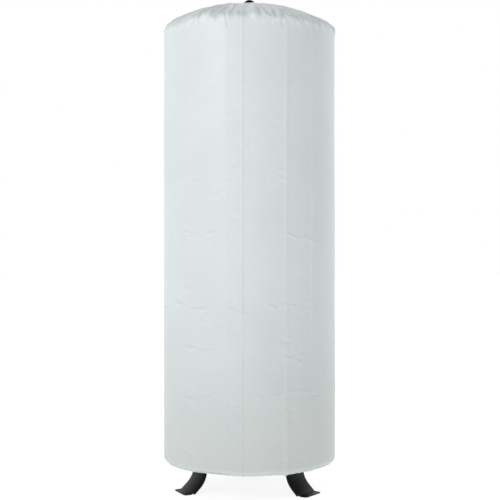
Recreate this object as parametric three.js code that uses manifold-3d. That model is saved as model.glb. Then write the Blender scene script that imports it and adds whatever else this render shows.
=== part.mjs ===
// An upright cylindrical vessel on three pressed-steel legs, wrapped in a fleece-lined
// fire-blanket jacket. The jacket is gathered by a drawcord at its neck, round the
// lifting eye, and by another at its hem, and closes with a zip down the back.
//
// Millimetres, +Z up. The origin is on the vessel's axis, at the floor. The front seam of
// the jacket is at -Y and the zip at +Y.

import * as THREE from 'three';
import { mergeVertices } from 'three/addons/utils/BufferGeometryUtils.js';
import Module from 'manifold-3d';

const wasm = await Module();
wasm.setup();

// ---------------------------------------------------------------- driving dimensions

const OVERALL_HEIGHT = 2400;
const GAP = 0.3; // left between pieces that touch
const ROUND_STEPS = 48; // facets round the vessel and the jacket

// vessel
const TANK_RADIUS = 370;
const TANK_WALL = 4;
const CROWN_RADIUS = 2 * TANK_RADIUS; // torispherical heads: crown radius = diameter,
const KNUCKLE_RADIUS = 0.1 * CROWN_RADIUS; // knuckle radius = a tenth of it
const HEAD_SKIRT = 14;
const BOTTOM_APEX_Z = 165;
const BOSS_RADIUS = 24;
const BOSS_DEPTH = 38;
const THREAD_RADIUS = 8;
const SOCKET_RADIUS = 21;
const SOCKET_BORE = 15;
const SOCKET_END_Z = 122;

// lifting eye, forged, M16
const EYE_HEIGHT = 62;
const EYE_OUTER = 31.5;
const EYE_BAR = 7;
const EYE_COLLAR = 17.5;
const EYE_COLLAR_HEIGHT = 8;
const EYE_SHANK = 27;

// legs
const LEG_AZIMUTHS = { leg_front_left: -150, leg_front_right: -30, leg_rear: 90 };
const LEG_FACE = 271; // outer face of the upright stretch
const LEG_WIDTH = 134;
const LEG_SHEET = 5;
const LEG_FLANGE = 16;
const LEG_BEND_Z = 110;
const LEG_BEND_RADIUS = 100;
const LEG_SLOPE = 46; // degrees turned by the big bend
const ANKLE_RADIUS = 15;
const FOOT_TIP = 372;
const FOOT_CORNER = 14;
const BOLT_HOLE_RADIUS = 6.5;
const BOLT_HOLE_PLACE = 351;
const BOLT_HOLE_SPACING = 98;

// jacket
const JACKET_RADIUS = 420;
const FABRIC = 2;
const SHOULDER_Z = 2222;
const DOME_RISE = 139;
const DOME_STEPS = 8;
const NECK_RADIUS = 52;
const HEM_CORNER_RADIUS = 44;
const HEM_CORNER_Z = 172;
const HEM_TURN = 75; // degrees that the skirt turns in under the hem
const SEAM_TAPE_WIDTH = 20;
const SEAM_TAPE = 1.2;
const FLEECE_INSIDE = TANK_RADIUS + 1.5;
const FLEECE_OUTSIDE = JACKET_RADIUS - FABRIC - 2;
const FLEECE_BOTTOM_Z = 150;
const FLEECE_TOP_Z = 2190;
const FLEECE_SLIT = 26;

// drawcords, their tunnels and cord locks
const CORD_RADIUS = 2;
const TUNNEL_RADIUS = 6.5;
const TUNNEL_WALL = 1.5;
const NECK_RING = { radius: 50.5, z: 2369, mouth: 24 };
const HEM_RING = { radius: 379, z: 137.2, mouth: 4 };
const LOCK_RADIUS = 9;
const LOCK_BORE = 6.3;
const LOCK_LENGTH = 26;
const LOCK_FLOOR = 2.5;
const BUTTON_RADIUS = 6;
const BUTTON_LENGTH = 23;
const BUTTON_TRAVEL = 4;
const KNOT_RADIUS = 5.5;

// zip
const ZIP_BOTTOM_Z = 186;
const ZIP_TOP_Z = 2192;
const ZIP_SLOT = 8; // half the gap between the jacket's edges
const TAPE_WIDTH = 17;
const TAPE = 1;
const COIL_WIDTH = 3.4;
const COIL_HEIGHT = 2.6;
const TAPE_TAIL = 8; // tape past the chain
const STOP_HEIGHT = 4.5;
const STARTER_HALF_WIDTH = 5.5;
const STARTER_HEIGHT = 12.7;
const SLIDER_HALF_WIDTH = 7.5;
const SLIDER_LENGTH = 26;
const SLIDER_PLATE = 2.6;
const PULL_LENGTH = 38;
const PULL_WIDTH = 9;
const PULL_THICKNESS = 1.6;

// ---------------------------------------------------------------- worked out from them

const EYE_SEAT_Z = OVERALL_HEIGHT - EYE_HEIGHT;
const TOP_APEX_Z = EYE_SEAT_Z - 20;
const FLAT = Math.cos(Math.PI / ROUND_STEPS); // a facet's middle, over its corners
const BACK_INSIDE_Y = (JACKET_RADIUS - FABRIC) * FLAT;
const TAPE_OUTER_Y = BACK_INSIDE_Y - GAP;
const COIL_INNER_Y = TAPE_OUTER_Y + GAP;
const COIL_OUTER_Y = COIL_INNER_Y + COIL_HEIGHT;
const SLIDER_Z = ZIP_BOTTOM_Z + 6;
const SLIDER_PLATE_Y = COIL_OUTER_Y + 0.6;
const PULL_AXIS_Y = SLIDER_PLATE_Y + SLIDER_PLATE + 1.7;
const PULL_AXIS_Z = SLIDER_Z + 0.6 * SLIDER_LENGTH;

// ---------------------------------------------------------------- finishes

const COATED_FABRIC = { color: 0xe0e5e6, roughness: 0.55, metalness: 0 };
const FLEECE = { color: 0xf1f0ea, roughness: 1, metalness: 0 };
const TAPE_WEAVE = { color: 0xc9cdce, roughness: 0.85, metalness: 0 };
const CORD_BRAID = { color: 0xd8d9d6, roughness: 0.8, metalness: 0 };
const BLACK_PAINT = { color: 0x16181b, roughness: 0.35, metalness: 0.1 };
const GREY_PRIMER = { color: 0x6d7377, roughness: 0.55, metalness: 0.1 };
const ZINC_DIE_CAST = { color: 0xb9bdc0, roughness: 0.3, metalness: 1 };
const SPRING_STEEL = { color: 0xc4c6c8, roughness: 0.25, metalness: 1 };
const GREY_ACETAL = { color: 0x4a4d50, roughness: 0.45, metalness: 0 };

// ---------------------------------------------------------------- solids

const object = new THREE.Group();

function add(name, geometry, finish) {
  const mesh = new THREE.Mesh(geometry, new THREE.MeshStandardMaterial(finish));
  mesh.name = name;
  object.add(mesh);
  return mesh;
}

function signedVolume(points, triangles) {
  const [a, b, c] = [new THREE.Vector3(), new THREE.Vector3(), new THREE.Vector3()];
  let volume = 0;
  for (let i = 0; i < triangles.length; i += 3) {
    a.fromArray(points, 3 * triangles[i]);
    b.fromArray(points, 3 * triangles[i + 1]);
    c.fromArray(points, 3 * triangles[i + 2]);
    volume += a.dot(b.cross(c)) / 6;
  }
  return volume;
}

// One closed body: shared corners merged, empty triangles dropped, faces pointing out.
function closed(geometry) {
  geometry.deleteAttribute('normal');
  geometry.deleteAttribute('uv');
  const merged = mergeVertices(geometry, 1e-3);
  const points = merged.attributes.position.array;
  const triangles = [];
  for (let i = 0; i < merged.index.count; i += 3) {
    const [a, b, c] = [0, 1, 2].map((k) => merged.index.getX(i + k));
    if (a !== b && b !== c && c !== a) triangles.push(a, b, c);
  }
  if (signedVolume(points, triangles) < 0) triangles.reverse();
  merged.setIndex(triangles);
  return merged;
}

function solid(geometry) {
  const body = closed(geometry);
  return new wasm.Manifold(
    new wasm.Mesh({
      numProp: 3,
      vertProperties: Float32Array.from(body.attributes.position.array),
      triVerts: Uint32Array.from(body.index.array),
    })
  );
}

function geometryOf(manifold) {
  const mesh = manifold.getMesh();
  const geometry = new THREE.BufferGeometry();
  geometry.setAttribute('position', new THREE.BufferAttribute(mesh.vertProperties, 3));
  geometry.setIndex(new THREE.BufferAttribute(mesh.triVerts, 1));
  return geometry;
}

// A profile of [radius, height] points turned about Z, a facet's middle at the front.
function turned(profile, steps = ROUND_STEPS) {
  const points = profile.map(([radius, z]) => new THREE.Vector2(radius, z));
  points.push(points[0].clone());
  const geometry = new THREE.LatheGeometry(points, steps, Math.PI / steps);
  geometry.rotateX(Math.PI / 2);
  return closed(geometry);
}

function box(x0, x1, y0, y1, z0, z1) {
  const geometry = new THREE.BoxGeometry(x1 - x0, y1 - y0, z1 - z0);
  geometry.translate((x0 + x1) / 2, (y0 + y1) / 2, (z0 + z1) / 2);
  return geometry;
}

function rod(radius, length, steps = 24) {
  const geometry = new THREE.CylinderGeometry(radius, radius, length, steps);
  geometry.rotateX(Math.PI / 2);
  return geometry;
}

function circlePoints(radius, sides) {
  const points = [];
  for (let i = 0; i < sides; i += 1) {
    const angle = 2 * Math.PI * i / sides;
    points.push(new THREE.Vector2(radius * Math.cos(angle), radius * Math.sin(angle)));
  }
  return points;
}

// A round bar, or with a bore a pipe, along a curve.
function piped(curve, steps, radius, sides, bore = 0) {
  const section = new THREE.Shape(circlePoints(radius, sides));
  if (bore > 0) section.holes.push(new THREE.Path(circlePoints(bore, sides)));
  return closed(new THREE.ExtrudeGeometry(section, { steps, extrudePath: curve }));
}

// ---------------------------------------------------------------- vessel

// The outline of a torispherical head from its apex out to its rim, seen from outside.
// inset is how far inside the outer surface it runs; up is 1 for the top head, -1 for
// the bottom one.
function headLine(apexZ, up, inset, fromRadius) {
  const crown = CROWN_RADIUS - inset;
  const knuckle = KNUCKLE_RADIUS - inset;
  const centre = TANK_RADIUS - KNUCKLE_RADIUS;
  const turn = Math.asin(centre / (CROWN_RADIUS - KNUCKLE_RADIUS));
  const crownZ = apexZ - up * CROWN_RADIUS;
  const knuckleZ = crownZ + up * (CROWN_RADIUS - KNUCKLE_RADIUS) * Math.cos(turn);
  const line = [];
  const start = Math.asin(fromRadius / crown);
  for (let i = 0; i <= 5; i += 1) {
    const angle = start + (turn - start) * i / 5;
    line.push([crown * Math.sin(angle), crownZ + up * crown * Math.cos(angle)]);
  }
  for (let i = 1; i <= 3; i += 1) {
    const angle = turn + (Math.PI / 2 - turn) * i / 3;
    line.push([centre + knuckle * Math.sin(angle), knuckleZ + up * knuckle * Math.cos(angle)]);
  }
  const rimZ = knuckleZ - up * HEAD_SKIRT;
  line.push([centre + knuckle, rimZ]);
  return { line, rimZ };
}

function head(apexZ, up, hole) {
  const outer = headLine(apexZ, up, 0, hole);
  const inner = headLine(apexZ, up, TANK_WALL, hole);
  return { geometry: turned([...outer.line, ...inner.line.reverse()]), rimZ: outer.rimZ };
}

function makeVessel() {
  const top = head(TOP_APEX_Z, 1, BOSS_RADIUS + GAP);
  const bottom = head(BOTTOM_APEX_Z, -1, SOCKET_RADIUS + GAP);
  const inside = TANK_RADIUS - TANK_WALL;
  add('top_head', top.geometry, GREY_PRIMER);
  add('bottom_head', bottom.geometry, GREY_PRIMER);
  add('tank_shell', turned([
    [TANK_RADIUS, bottom.rimZ + GAP],
    [TANK_RADIUS, top.rimZ - GAP],
    [inside, top.rimZ - GAP],
    [inside, bottom.rimZ + GAP],
  ]), GREY_PRIMER);
}

function makeTopBoss() {
  const topZ = EYE_SEAT_Z - GAP;
  const bore = THREAD_RADIUS + 0.4;
  const boreEndZ = topZ - EYE_SHANK - 3;
  const profile = [
    [0, topZ - BOSS_DEPTH],
    [BOSS_RADIUS, topZ - BOSS_DEPTH],
    [BOSS_RADIUS, topZ - 1.5],
    [BOSS_RADIUS - 1.5, topZ],
    [bore, topZ],
    [bore, boreEndZ],
    [0, boreEndZ],
  ];
  add('top_boss', turned(profile, 32), GREY_PRIMER);
}

function makeBottomSocket() {
  const innerEndZ = BOTTOM_APEX_Z + 20;
  add('bottom_socket', turned([
    [SOCKET_BORE, SOCKET_END_Z],
    [SOCKET_RADIUS, SOCKET_END_Z],
    [SOCKET_RADIUS, innerEndZ],
    [SOCKET_BORE, innerEndZ],
  ], 32), GREY_PRIMER);
}

function makeLiftingEye() {
  const ringRadius = EYE_OUTER - EYE_BAR;
  const ring = new THREE.TorusGeometry(ringRadius, EYE_BAR, 10, 28);
  ring.rotateX(Math.PI / 2);
  ring.translate(0, 0, OVERALL_HEIGHT - EYE_OUTER);
  const seat = EYE_SEAT_Z;
  const stem = turned([
    [0, seat - EYE_SHANK],
    [THREAD_RADIUS - 1, seat - EYE_SHANK],
    [THREAD_RADIUS, seat - EYE_SHANK + 1],
    [THREAD_RADIUS, seat],
    [EYE_COLLAR, seat],
    [EYE_COLLAR, seat + EYE_COLLAR_HEIGHT - 4],
    [EYE_COLLAR - 6, seat + EYE_COLLAR_HEIGHT],
    [0, seat + EYE_COLLAR_HEIGHT],
  ], 32);
  const below = solid(box(-50, 50, -50, 50, seat - 20, seat));
  const eye = solid(ring).subtract(below).add(solid(stem));
  add('lifting_eye', geometryOf(eye), BLACK_PAINT);
}

// ---------------------------------------------------------------- legs

// The leg's outer face in its own plane, from the top down to the toe, as places with
// the direction out of the sheet's back.
function legLine(topZ, withFoot) {
  const slope = THREE.MathUtils.degToRad(LEG_SLOPE);
  const line = [{ x: LEG_FACE, z: topZ, nx: -1, nz: 0 }];
  const centreX = LEG_FACE + LEG_BEND_RADIUS;
  for (let i = 0; i <= 6; i += 1) {
    const angle = slope * i / 6;
    const [nx, nz] = [-Math.cos(angle), -Math.sin(angle)];
    line.push({ x: centreX + LEG_BEND_RADIUS * nx, z: LEG_BEND_Z + LEG_BEND_RADIUS * nz, nx, nz });
  }
  const end = line[line.length - 1];
  const ankleDrop = ANKLE_RADIUS * (1 - Math.sin(slope));
  const run = (end.z - LEG_SHEET - ankleDrop) / Math.cos(slope);
  const ankleX = end.x + run * Math.sin(slope) + ANKLE_RADIUS * Math.cos(slope);
  const ankleZ = LEG_SHEET + ANKLE_RADIUS;
  const bends = withFoot ? 4 : 0;
  for (let i = 0; i <= bends; i += 1) {
    const angle = slope + (Math.PI / 2 - slope) * i / 4;
    const [nx, nz] = [-Math.cos(angle), -Math.sin(angle)];
    line.push({ x: ankleX + ANKLE_RADIUS * nx, z: ankleZ + ANKLE_RADIUS * nz, nx, nz });
  }
  if (withFoot) line.push({ x: FOOT_TIP + 5, z: LEG_SHEET, nx: 0, nz: -1 });
  return line;
}

function legPlate(line, depth, from, to) {
  const face = line.map(({ x, z }) => new THREE.Vector2(x, z));
  const back = line.map(({ x, z, nx, nz }) => new THREE.Vector2(x + depth * nx, z + depth * nz));
  const shape = new THREE.Shape([...face, ...back.reverse()]);
  const geometry = new THREE.ExtrudeGeometry(shape, { depth: to - from, bevelEnabled: false });
  geometry.rotateX(Math.PI / 2);
  geometry.translate(0, to, 0);
  return solid(geometry);
}

function footOutline() {
  const half = LEG_WIDTH / 2;
  const shape = new THREE.Shape();
  shape.moveTo(LEG_FACE - LEG_FLANGE - 10, -half);
  shape.lineTo(FOOT_TIP - FOOT_CORNER, -half);
  shape.absarc(FOOT_TIP - FOOT_CORNER, FOOT_CORNER - half, FOOT_CORNER, -Math.PI / 2, 0);
  shape.absarc(FOOT_TIP - FOOT_CORNER, half - FOOT_CORNER, FOOT_CORNER, 0, Math.PI / 2);
  shape.lineTo(LEG_FACE - LEG_FLANGE - 10, half);
  const tall = { depth: 400, bevelEnabled: false, curveSegments: 5 };
  return solid(new THREE.ExtrudeGeometry(shape, tall));
}

function legSolid() {
  const half = LEG_WIDTH / 2;
  const topZ = BOTTOM_APEX_Z + 80;
  let leg = legPlate(legLine(topZ, true), LEG_SHEET, -half, half);
  for (const side of [-half, half - LEG_SHEET]) {
    leg = leg.add(legPlate(legLine(topZ, false), LEG_FLANGE, side, side + LEG_SHEET));
  }
  leg = leg.intersect(footOutline());
  const headBall = new THREE.SphereGeometry(CROWN_RADIUS + GAP, 96, 96, 0, Math.PI * 2);
  headBall.rotateX(Math.PI / 2);
  headBall.translate(0, 0, BOTTOM_APEX_Z + CROWN_RADIUS);
  leg = leg.subtract(solid(headBall));
  for (const side of [-1, 1]) {
    const hole = rod(BOLT_HOLE_RADIUS, 30, 20);
    hole.translate(BOLT_HOLE_PLACE, side * BOLT_HOLE_SPACING / 2, 0);
    leg = leg.subtract(solid(hole));
  }
  return geometryOf(leg);
}

function makeLegs() {
  const geometry = legSolid();
  for (const [name, azimuth] of Object.entries(LEG_AZIMUTHS)) {
    const leg = add(name, geometry.clone(), BLACK_PAINT);
    leg.rotation.z = THREE.MathUtils.degToRad(azimuth);
  }
}

// ---------------------------------------------------------------- jacket

// The jacket's outline from neck to hem, inset from its outer surface.
function jacketLine(inset) {
  const line = [];
  const across = JACKET_RADIUS - inset;
  const rise = DOME_RISE - inset;
  const start = Math.acos(NECK_RADIUS / across);
  for (let i = 0; i <= DOME_STEPS; i += 1) {
    const angle = start * (1 - i / DOME_STEPS);
    line.push([across * Math.cos(angle), SHOULDER_Z + rise * Math.sin(angle)]);
  }
  const corner = HEM_CORNER_RADIUS - inset;
  const cornerPlace = JACKET_RADIUS - HEM_CORNER_RADIUS;
  for (let i = 0; i <= 3; i += 1) {
    const angle = THREE.MathUtils.degToRad(HEM_TURN) * i / 3;
    line.push([cornerPlace + corner * Math.cos(angle), HEM_CORNER_Z - corner * Math.sin(angle)]);
  }
  return line;
}

function jacketLayer(from, to) {
  return solid(turned([...jacketLine(from), ...jacketLine(to).reverse()]));
}

function makePanels() {
  const skin = jacketLayer(0, FABRIC);
  const reach = JACKET_RADIUS + 10;
  const zipSlot = solid(box(-ZIP_SLOT, ZIP_SLOT, 0, reach, 0, ZIP_TOP_Z + 16));
  const edge = GAP / 2 + 0.1;
  const left = solid(box(-reach, -edge, -reach, reach, 0, OVERALL_HEIGHT));
  const right = solid(box(edge, reach, -reach, reach, 0, OVERALL_HEIGHT));
  add('jacket_left_panel', geometryOf(skin.intersect(left).subtract(zipSlot)), COATED_FABRIC);
  add('jacket_right_panel', geometryOf(skin.intersect(right).subtract(zipSlot)), COATED_FABRIC);
}

// The bound seam allowance, inside, down the front.
function makeFrontSeam() {
  const layer = jacketLayer(FABRIC + GAP, FABRIC + GAP + SEAM_TAPE);
  const half = SEAM_TAPE_WIDTH / 2;
  const strip = solid(box(-half, half, -JACKET_RADIUS, -NECK_RADIUS - 12, 150, OVERALL_HEIGHT));
  add('front_seam_tape', geometryOf(layer.intersect(strip)), TAPE_WEAVE);
}

function makeFleece() {
  const wrap = turned([
    [FLEECE_INSIDE, FLEECE_BOTTOM_Z],
    [FLEECE_OUTSIDE - 14, FLEECE_BOTTOM_Z],
    [FLEECE_OUTSIDE, HEM_CORNER_Z],
    [FLEECE_OUTSIDE, FLEECE_TOP_Z],
    [FLEECE_INSIDE, FLEECE_TOP_Z],
  ]);
  const half = FLEECE_SLIT / 2;
  const slit = solid(box(-half, half, 0, JACKET_RADIUS, 0, OVERALL_HEIGHT));
  add('fleece_wrap', geometryOf(solid(wrap).subtract(slit)), FLEECE);

  const rest = headLine(TOP_APEX_Z, 1, TANK_RADIUS - FLEECE_INSIDE, NECK_RADIUS - 10).line;
  rest.pop();
  rest.push([FLEECE_INSIDE, FLEECE_TOP_Z + GAP]);
  const inset = JACKET_RADIUS - FLEECE_OUTSIDE;
  const dome = jacketLine(inset).slice(0, DOME_STEPS + 1);
  const upper = [[NECK_RADIUS - 10, dome[0][1]], ...dome, [FLEECE_OUTSIDE, FLEECE_TOP_Z + GAP]];
  add('fleece_top', turned([...rest, ...upper.reverse()]), FLEECE);
}

// ---------------------------------------------------------------- drawcords

const polar = (radius, degrees, z) => {
  const angle = THREE.MathUtils.degToRad(degrees);
  return new THREE.Vector3(radius * Math.cos(angle), radius * Math.sin(angle), z);
};

// Most of a circle about Z, open by mouth degrees each side of the back.
function openRing({ radius, z, mouth }, steps) {
  const points = [];
  for (let i = 0; i <= steps; i += 1) {
    points.push(polar(radius, 90 + mouth + (360 - 2 * mouth) * i / steps, z));
  }
  return points;
}

function makeTunnel(name, ring, steps) {
  const curve = new THREE.CatmullRomCurve3(openRing(ring, steps));
  const bore = TUNNEL_RADIUS - TUNNEL_WALL;
  add(name, piped(curve, steps, TUNNEL_RADIUS, 8, bore), COATED_FABRIC);
}

// A curve that is cut into steps evenly between its points, not evenly by length, so
// that the short bends at a cord's ends get as many steps as its long ring.
class CordRoute extends THREE.CatmullRomCurve3 {
  getPointAt(u, target) {
    return this.getPoint(u, target);
  }

  getTangentAt(u, target) {
    return this.getTangent(u, target);
  }
}

function makeCord(name, ring, steps, startTail, endTail) {
  const inner = { ...ring, mouth: ring.mouth + 1 };
  const points = [...startTail, ...openRing(inner, steps), ...endTail];
  const curve = new CordRoute(points, false, 'centripetal');
  add(name, piped(curve, 2 * (points.length - 1), CORD_RADIUS, 8), CORD_BRAID);
}

// A barrel cord lock with its button out along +X and its cord hole along Y, put in
// place by a nested group. The two cords lie one above the other in the hole.
function makeCordLock(prefix, place) {
  const group = new THREE.Group();
  place(group);
  object.add(group);
  const floorX = -LOCK_LENGTH / 2;
  const along = (geometry, x) => geometry.rotateY(Math.PI / 2).translate(x, 0, 0);
  const holeHalf = 2 * CORD_RADIUS + 0.8;
  const hole = (x0, x1) => solid(box(x0, x1, -20, 20, -holeHalf, holeHalf));

  const barrelCut = solid(along(rod(LOCK_BORE, LOCK_LENGTH), LOCK_FLOOR));
  const cordSide = CORD_RADIUS + 0.5;
  const barrel = solid(along(rod(LOCK_RADIUS, LOCK_LENGTH), 0))
    .subtract(barrelCut)
    .subtract(hole(-cordSide, cordSide));
  group.add(add(`${prefix}_lock_barrel`, geometryOf(barrel), GREY_ACETAL));

  const buttonFoot = -CORD_RADIUS - 2.6;
  const buttonMiddle = buttonFoot + BUTTON_LENGTH / 2;
  const button = solid(along(rod(BUTTON_RADIUS, BUTTON_LENGTH), buttonMiddle))
    .subtract(hole(-cordSide + 0.1, cordSide + BUTTON_TRAVEL));
  group.add(add(`${prefix}_lock_button`, geometryOf(button), GREY_ACETAL));

  const springLength = buttonFoot - GAP - (floorX + LOCK_FLOOR + GAP);
  const springMiddle = buttonFoot - GAP - springLength / 2;
  const spring = solid(along(rod(LOCK_BORE - 1.6, springLength), springMiddle));
  group.add(add(`${prefix}_lock_spring`, geometryOf(spring), SPRING_STEEL));
}

function makeKnot(name, x, y, z) {
  const knot = new THREE.SphereGeometry(KNOT_RADIUS, 12, 8);
  knot.translate(x, y, z);
  add(name, closed(knot), CORD_BRAID);
}

const NECK_LOCK_Y = NECK_RING.radius + TUNNEL_RADIUS + 20;
const HEM_LOCK_Z = HEM_RING.z - TUNNEL_RADIUS - 20;
const HEM_LOCK_Y = TANK_RADIUS + LOCK_RADIUS + 3;
const CORD_OFFSET = CORD_RADIUS + 0.3;

function makeNeckDrawcord() {
  const { z } = NECK_RING;
  makeTunnel('neck_tunnel', NECK_RING, 32);
  const tail = (side, up) => [
    new THREE.Vector3(0, NECK_LOCK_Y + 15, z + up),
    new THREE.Vector3(0, NECK_LOCK_Y, z + up),
    new THREE.Vector3(0, NECK_LOCK_Y - 10, z + up),
    new THREE.Vector3(0, NECK_LOCK_Y - 14, z + up),
    new THREE.Vector3(side * 5, NECK_LOCK_Y - 22, z + up / 2),
  ];
  makeCord('neck_drawcord', NECK_RING, 24, tail(-1, CORD_OFFSET), tail(1, -CORD_OFFSET).reverse());
  makeCordLock('neck', (group) => group.position.set(0, NECK_LOCK_Y, z));
  makeKnot('neck_cord_knot', 0, NECK_LOCK_Y + 15 + KNOT_RADIUS, z);
}

function makeHemDrawcord() {
  makeTunnel('hem_tunnel', HEM_RING, 44);
  const tail = (side, out) => [
    new THREE.Vector3(0, HEM_LOCK_Y + out, HEM_LOCK_Z - 15),
    new THREE.Vector3(0, HEM_LOCK_Y + out, HEM_LOCK_Z),
    new THREE.Vector3(0, HEM_LOCK_Y + out, HEM_LOCK_Z + 10),
    new THREE.Vector3(0, HEM_LOCK_Y + out, HEM_LOCK_Z + 14),
    new THREE.Vector3(side * 8, HEM_LOCK_Y + out / 2, HEM_RING.z - 2),
  ];
  makeCord('hem_drawcord', HEM_RING, 30, tail(-1, CORD_OFFSET), tail(1, -CORD_OFFSET).reverse());
  makeCordLock('hem', (group) => {
    group.position.set(0, HEM_LOCK_Y, HEM_LOCK_Z);
    group.rotation.x = Math.PI / 2;
  });
  makeKnot('hem_cord_knot', 0, HEM_LOCK_Y, HEM_LOCK_Z - 15 - KNOT_RADIUS);
}

// ---------------------------------------------------------------- zip

// Each side's piece reaches from its inner edge to width from the middle.
function zipSide(name, side, width, [y0, y1], [z0, z1], finish) {
  const edge = GAP / 2;
  const [x0, x1] = side < 0 ? [-width, -edge] : [edge, width];
  add(name, box(x0, x1, y0, y1, z0, z1), finish);
}

function makeZipChain() {
  const tapeY = [TAPE_OUTER_Y - TAPE, TAPE_OUTER_Y];
  const tapeZ = [ZIP_BOTTOM_Z - TAPE_TAIL, ZIP_TOP_Z + TAPE_TAIL + 6];
  const coilY = [COIL_INNER_Y, COIL_OUTER_Y];
  const coilZ = [ZIP_BOTTOM_Z + STOP_HEIGHT + 0.5, ZIP_TOP_Z];
  const stopZ = [ZIP_BOTTOM_Z, ZIP_BOTTOM_Z + STOP_HEIGHT];
  for (const [name, side] of [['left', -1], ['right', 1]]) {
    zipSide(`zip_tape_${name}`, side, TAPE_WIDTH, tapeY, tapeZ, TAPE_WEAVE);
    zipSide(`zip_coil_${name}`, side, COIL_WIDTH, coilY, coilZ, GREY_ACETAL);
    zipSide(`zip_stop_${name}`, side, COIL_WIDTH, coilY, stopZ, ZINC_DIE_CAST);
  }
  const starterZ = ZIP_TOP_Z + GAP;
  const starter = box(
    -STARTER_HALF_WIDTH, STARTER_HALF_WIDTH, COIL_INNER_Y, COIL_OUTER_Y + 0.6,
    starterZ, starterZ + STARTER_HEIGHT,
  );
  add('zip_starting_box', starter, ZINC_DIE_CAST);
}

// The front wing hooks its flanges round the chain and carries the bridge for the pull.
function makeSlider() {
  const z0 = SLIDER_Z;
  const z1 = SLIDER_Z + SLIDER_LENGTH;
  const half = SLIDER_HALF_WIDTH;
  const plateTop = SLIDER_PLATE_Y + SLIDER_PLATE;
  let wing = solid(box(-half, half, SLIDER_PLATE_Y, plateTop, z0, z1));
  for (const side of [-1, 1]) {
    const [x0, x1] = side < 0 ? [-half, -half + 2.2] : [half - 2.2, half];
    wing = wing.add(solid(box(x0, x1, TAPE_OUTER_Y + 0.5, plateTop, z0, z1)));
  }
  const bridgeTop = PULL_AXIS_Y + 3.2;
  const bridge = solid(box(-1.3, 1.3, plateTop - 0.5, bridgeTop, z0 + 3, z1 - 1));
  const under = solid(box(-3, 3, plateTop, PULL_AXIS_Y + 1.5, z0 + 6, z1 - 4));
  wing = wing.add(bridge.subtract(under));
  add('zip_slider_front', geometryOf(wing), ZINC_DIE_CAST);
  const backOuter = TAPE_OUTER_Y - TAPE - 0.4;
  add('zip_slider_back', box(-half, half, backOuter - 2.2, backOuter, z0, z1), ZINC_DIE_CAST);
}

function makePull() {
  const half = PULL_WIDTH / 2;
  const y0 = PULL_AXIS_Y - PULL_THICKNESS / 2;
  const y1 = PULL_AXIS_Y + PULL_THICKNESS / 2;
  const top = PULL_AXIS_Z + PULL_THICKNESS / 2;
  const shape = new THREE.Shape();
  const bottom = top - PULL_LENGTH;
  shape.moveTo(-half, top);
  shape.lineTo(-half, bottom + half);
  shape.absarc(0, bottom + half, half, Math.PI, 2 * Math.PI);
  shape.lineTo(half, top);
  const tab = new THREE.ExtrudeGeometry(shape, {
    depth: PULL_THICKNESS, bevelEnabled: false, curveSegments: 10,
  });
  tab.rotateX(Math.PI / 2);
  tab.translate(0, y1, 0);
  const window = box(-1.9, 1.9, y0 - 3, y1 + 3, top - 18, top - PULL_THICKNESS);
  const grip = box(-1.8, 1.8, y0 - 3, y1 + 3, bottom + half - 1, bottom + half + 8);
  const pull = solid(tab).subtract(solid(window)).subtract(solid(grip));
  add('zip_pull', geometryOf(pull), ZINC_DIE_CAST);
}

// ---------------------------------------------------------------- the whole object

makeVessel();
makeTopBoss();
makeBottomSocket();
makeLiftingEye();
makeLegs();
makeFleece();
makePanels();
makeFrontSeam();
makeNeckDrawcord();
makeHemDrawcord();
makeZipChain();
makeSlider();
makePull();

export default object;
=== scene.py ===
"""A fire-blanket jacket on a standing vessel: the looks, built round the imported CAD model.

Metres, +Z up. The front seam of the jacket is at -Y and its zip at +Y. Angles round the
vessel are measured from the front towards +X, so the zip is at half a turn.
"""

import math
import random

import bmesh
import bpy
import numpy as np
from mathutils import Matrix, Vector


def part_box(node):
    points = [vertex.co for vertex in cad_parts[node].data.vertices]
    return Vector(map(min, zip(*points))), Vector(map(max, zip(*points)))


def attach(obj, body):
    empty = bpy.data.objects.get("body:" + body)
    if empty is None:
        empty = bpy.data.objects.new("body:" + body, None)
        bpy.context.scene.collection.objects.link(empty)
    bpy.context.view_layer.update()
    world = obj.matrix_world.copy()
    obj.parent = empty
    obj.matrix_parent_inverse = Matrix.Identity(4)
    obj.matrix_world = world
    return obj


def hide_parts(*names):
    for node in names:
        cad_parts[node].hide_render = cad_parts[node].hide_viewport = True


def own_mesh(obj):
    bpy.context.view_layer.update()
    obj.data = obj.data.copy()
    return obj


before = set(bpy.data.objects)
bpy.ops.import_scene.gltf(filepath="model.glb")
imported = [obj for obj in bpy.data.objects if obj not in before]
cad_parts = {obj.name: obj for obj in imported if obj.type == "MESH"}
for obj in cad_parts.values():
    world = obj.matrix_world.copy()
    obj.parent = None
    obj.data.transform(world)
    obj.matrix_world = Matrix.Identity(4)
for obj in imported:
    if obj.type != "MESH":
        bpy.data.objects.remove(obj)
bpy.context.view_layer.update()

MM = 0.001
DEG = math.pi / 180

# ------------------------------------------------------------------ driving dimensions

JACKET_RADIUS = 420 * MM
SHOULDER_Z = 2222 * MM
DOME_RISE = 139 * MM
NECK_FOOT_RADIUS = 72 * MM  # where the cloth turns up to the neck's tunnel
NECK_UPTURN = 13.5 * MM
HEM_CORNER = 32 * MM
HEM_CORNER_Z = 160 * MM
HEM_TURN = 97 * DEG
ZIP_SLOT = 8.3 * MM
TANK_RADIUS = 370 * MM
CORD_RADIUS = 2 * MM

COIL_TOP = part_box("zip_coil_left")[1][2]
ZIP_OPEN_TO = COIL_TOP + 16 * MM  # the cloth's two halves meet above this

NECK_RING_RADIUS = 50.5 * MM
NECK_RING_Z = 2369 * MM
HEM_RING_RADIUS = 379 * MM
HEM_RING_Z = 137.2 * MM

# ------------------------------------------------------------------ camera and stage

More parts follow.
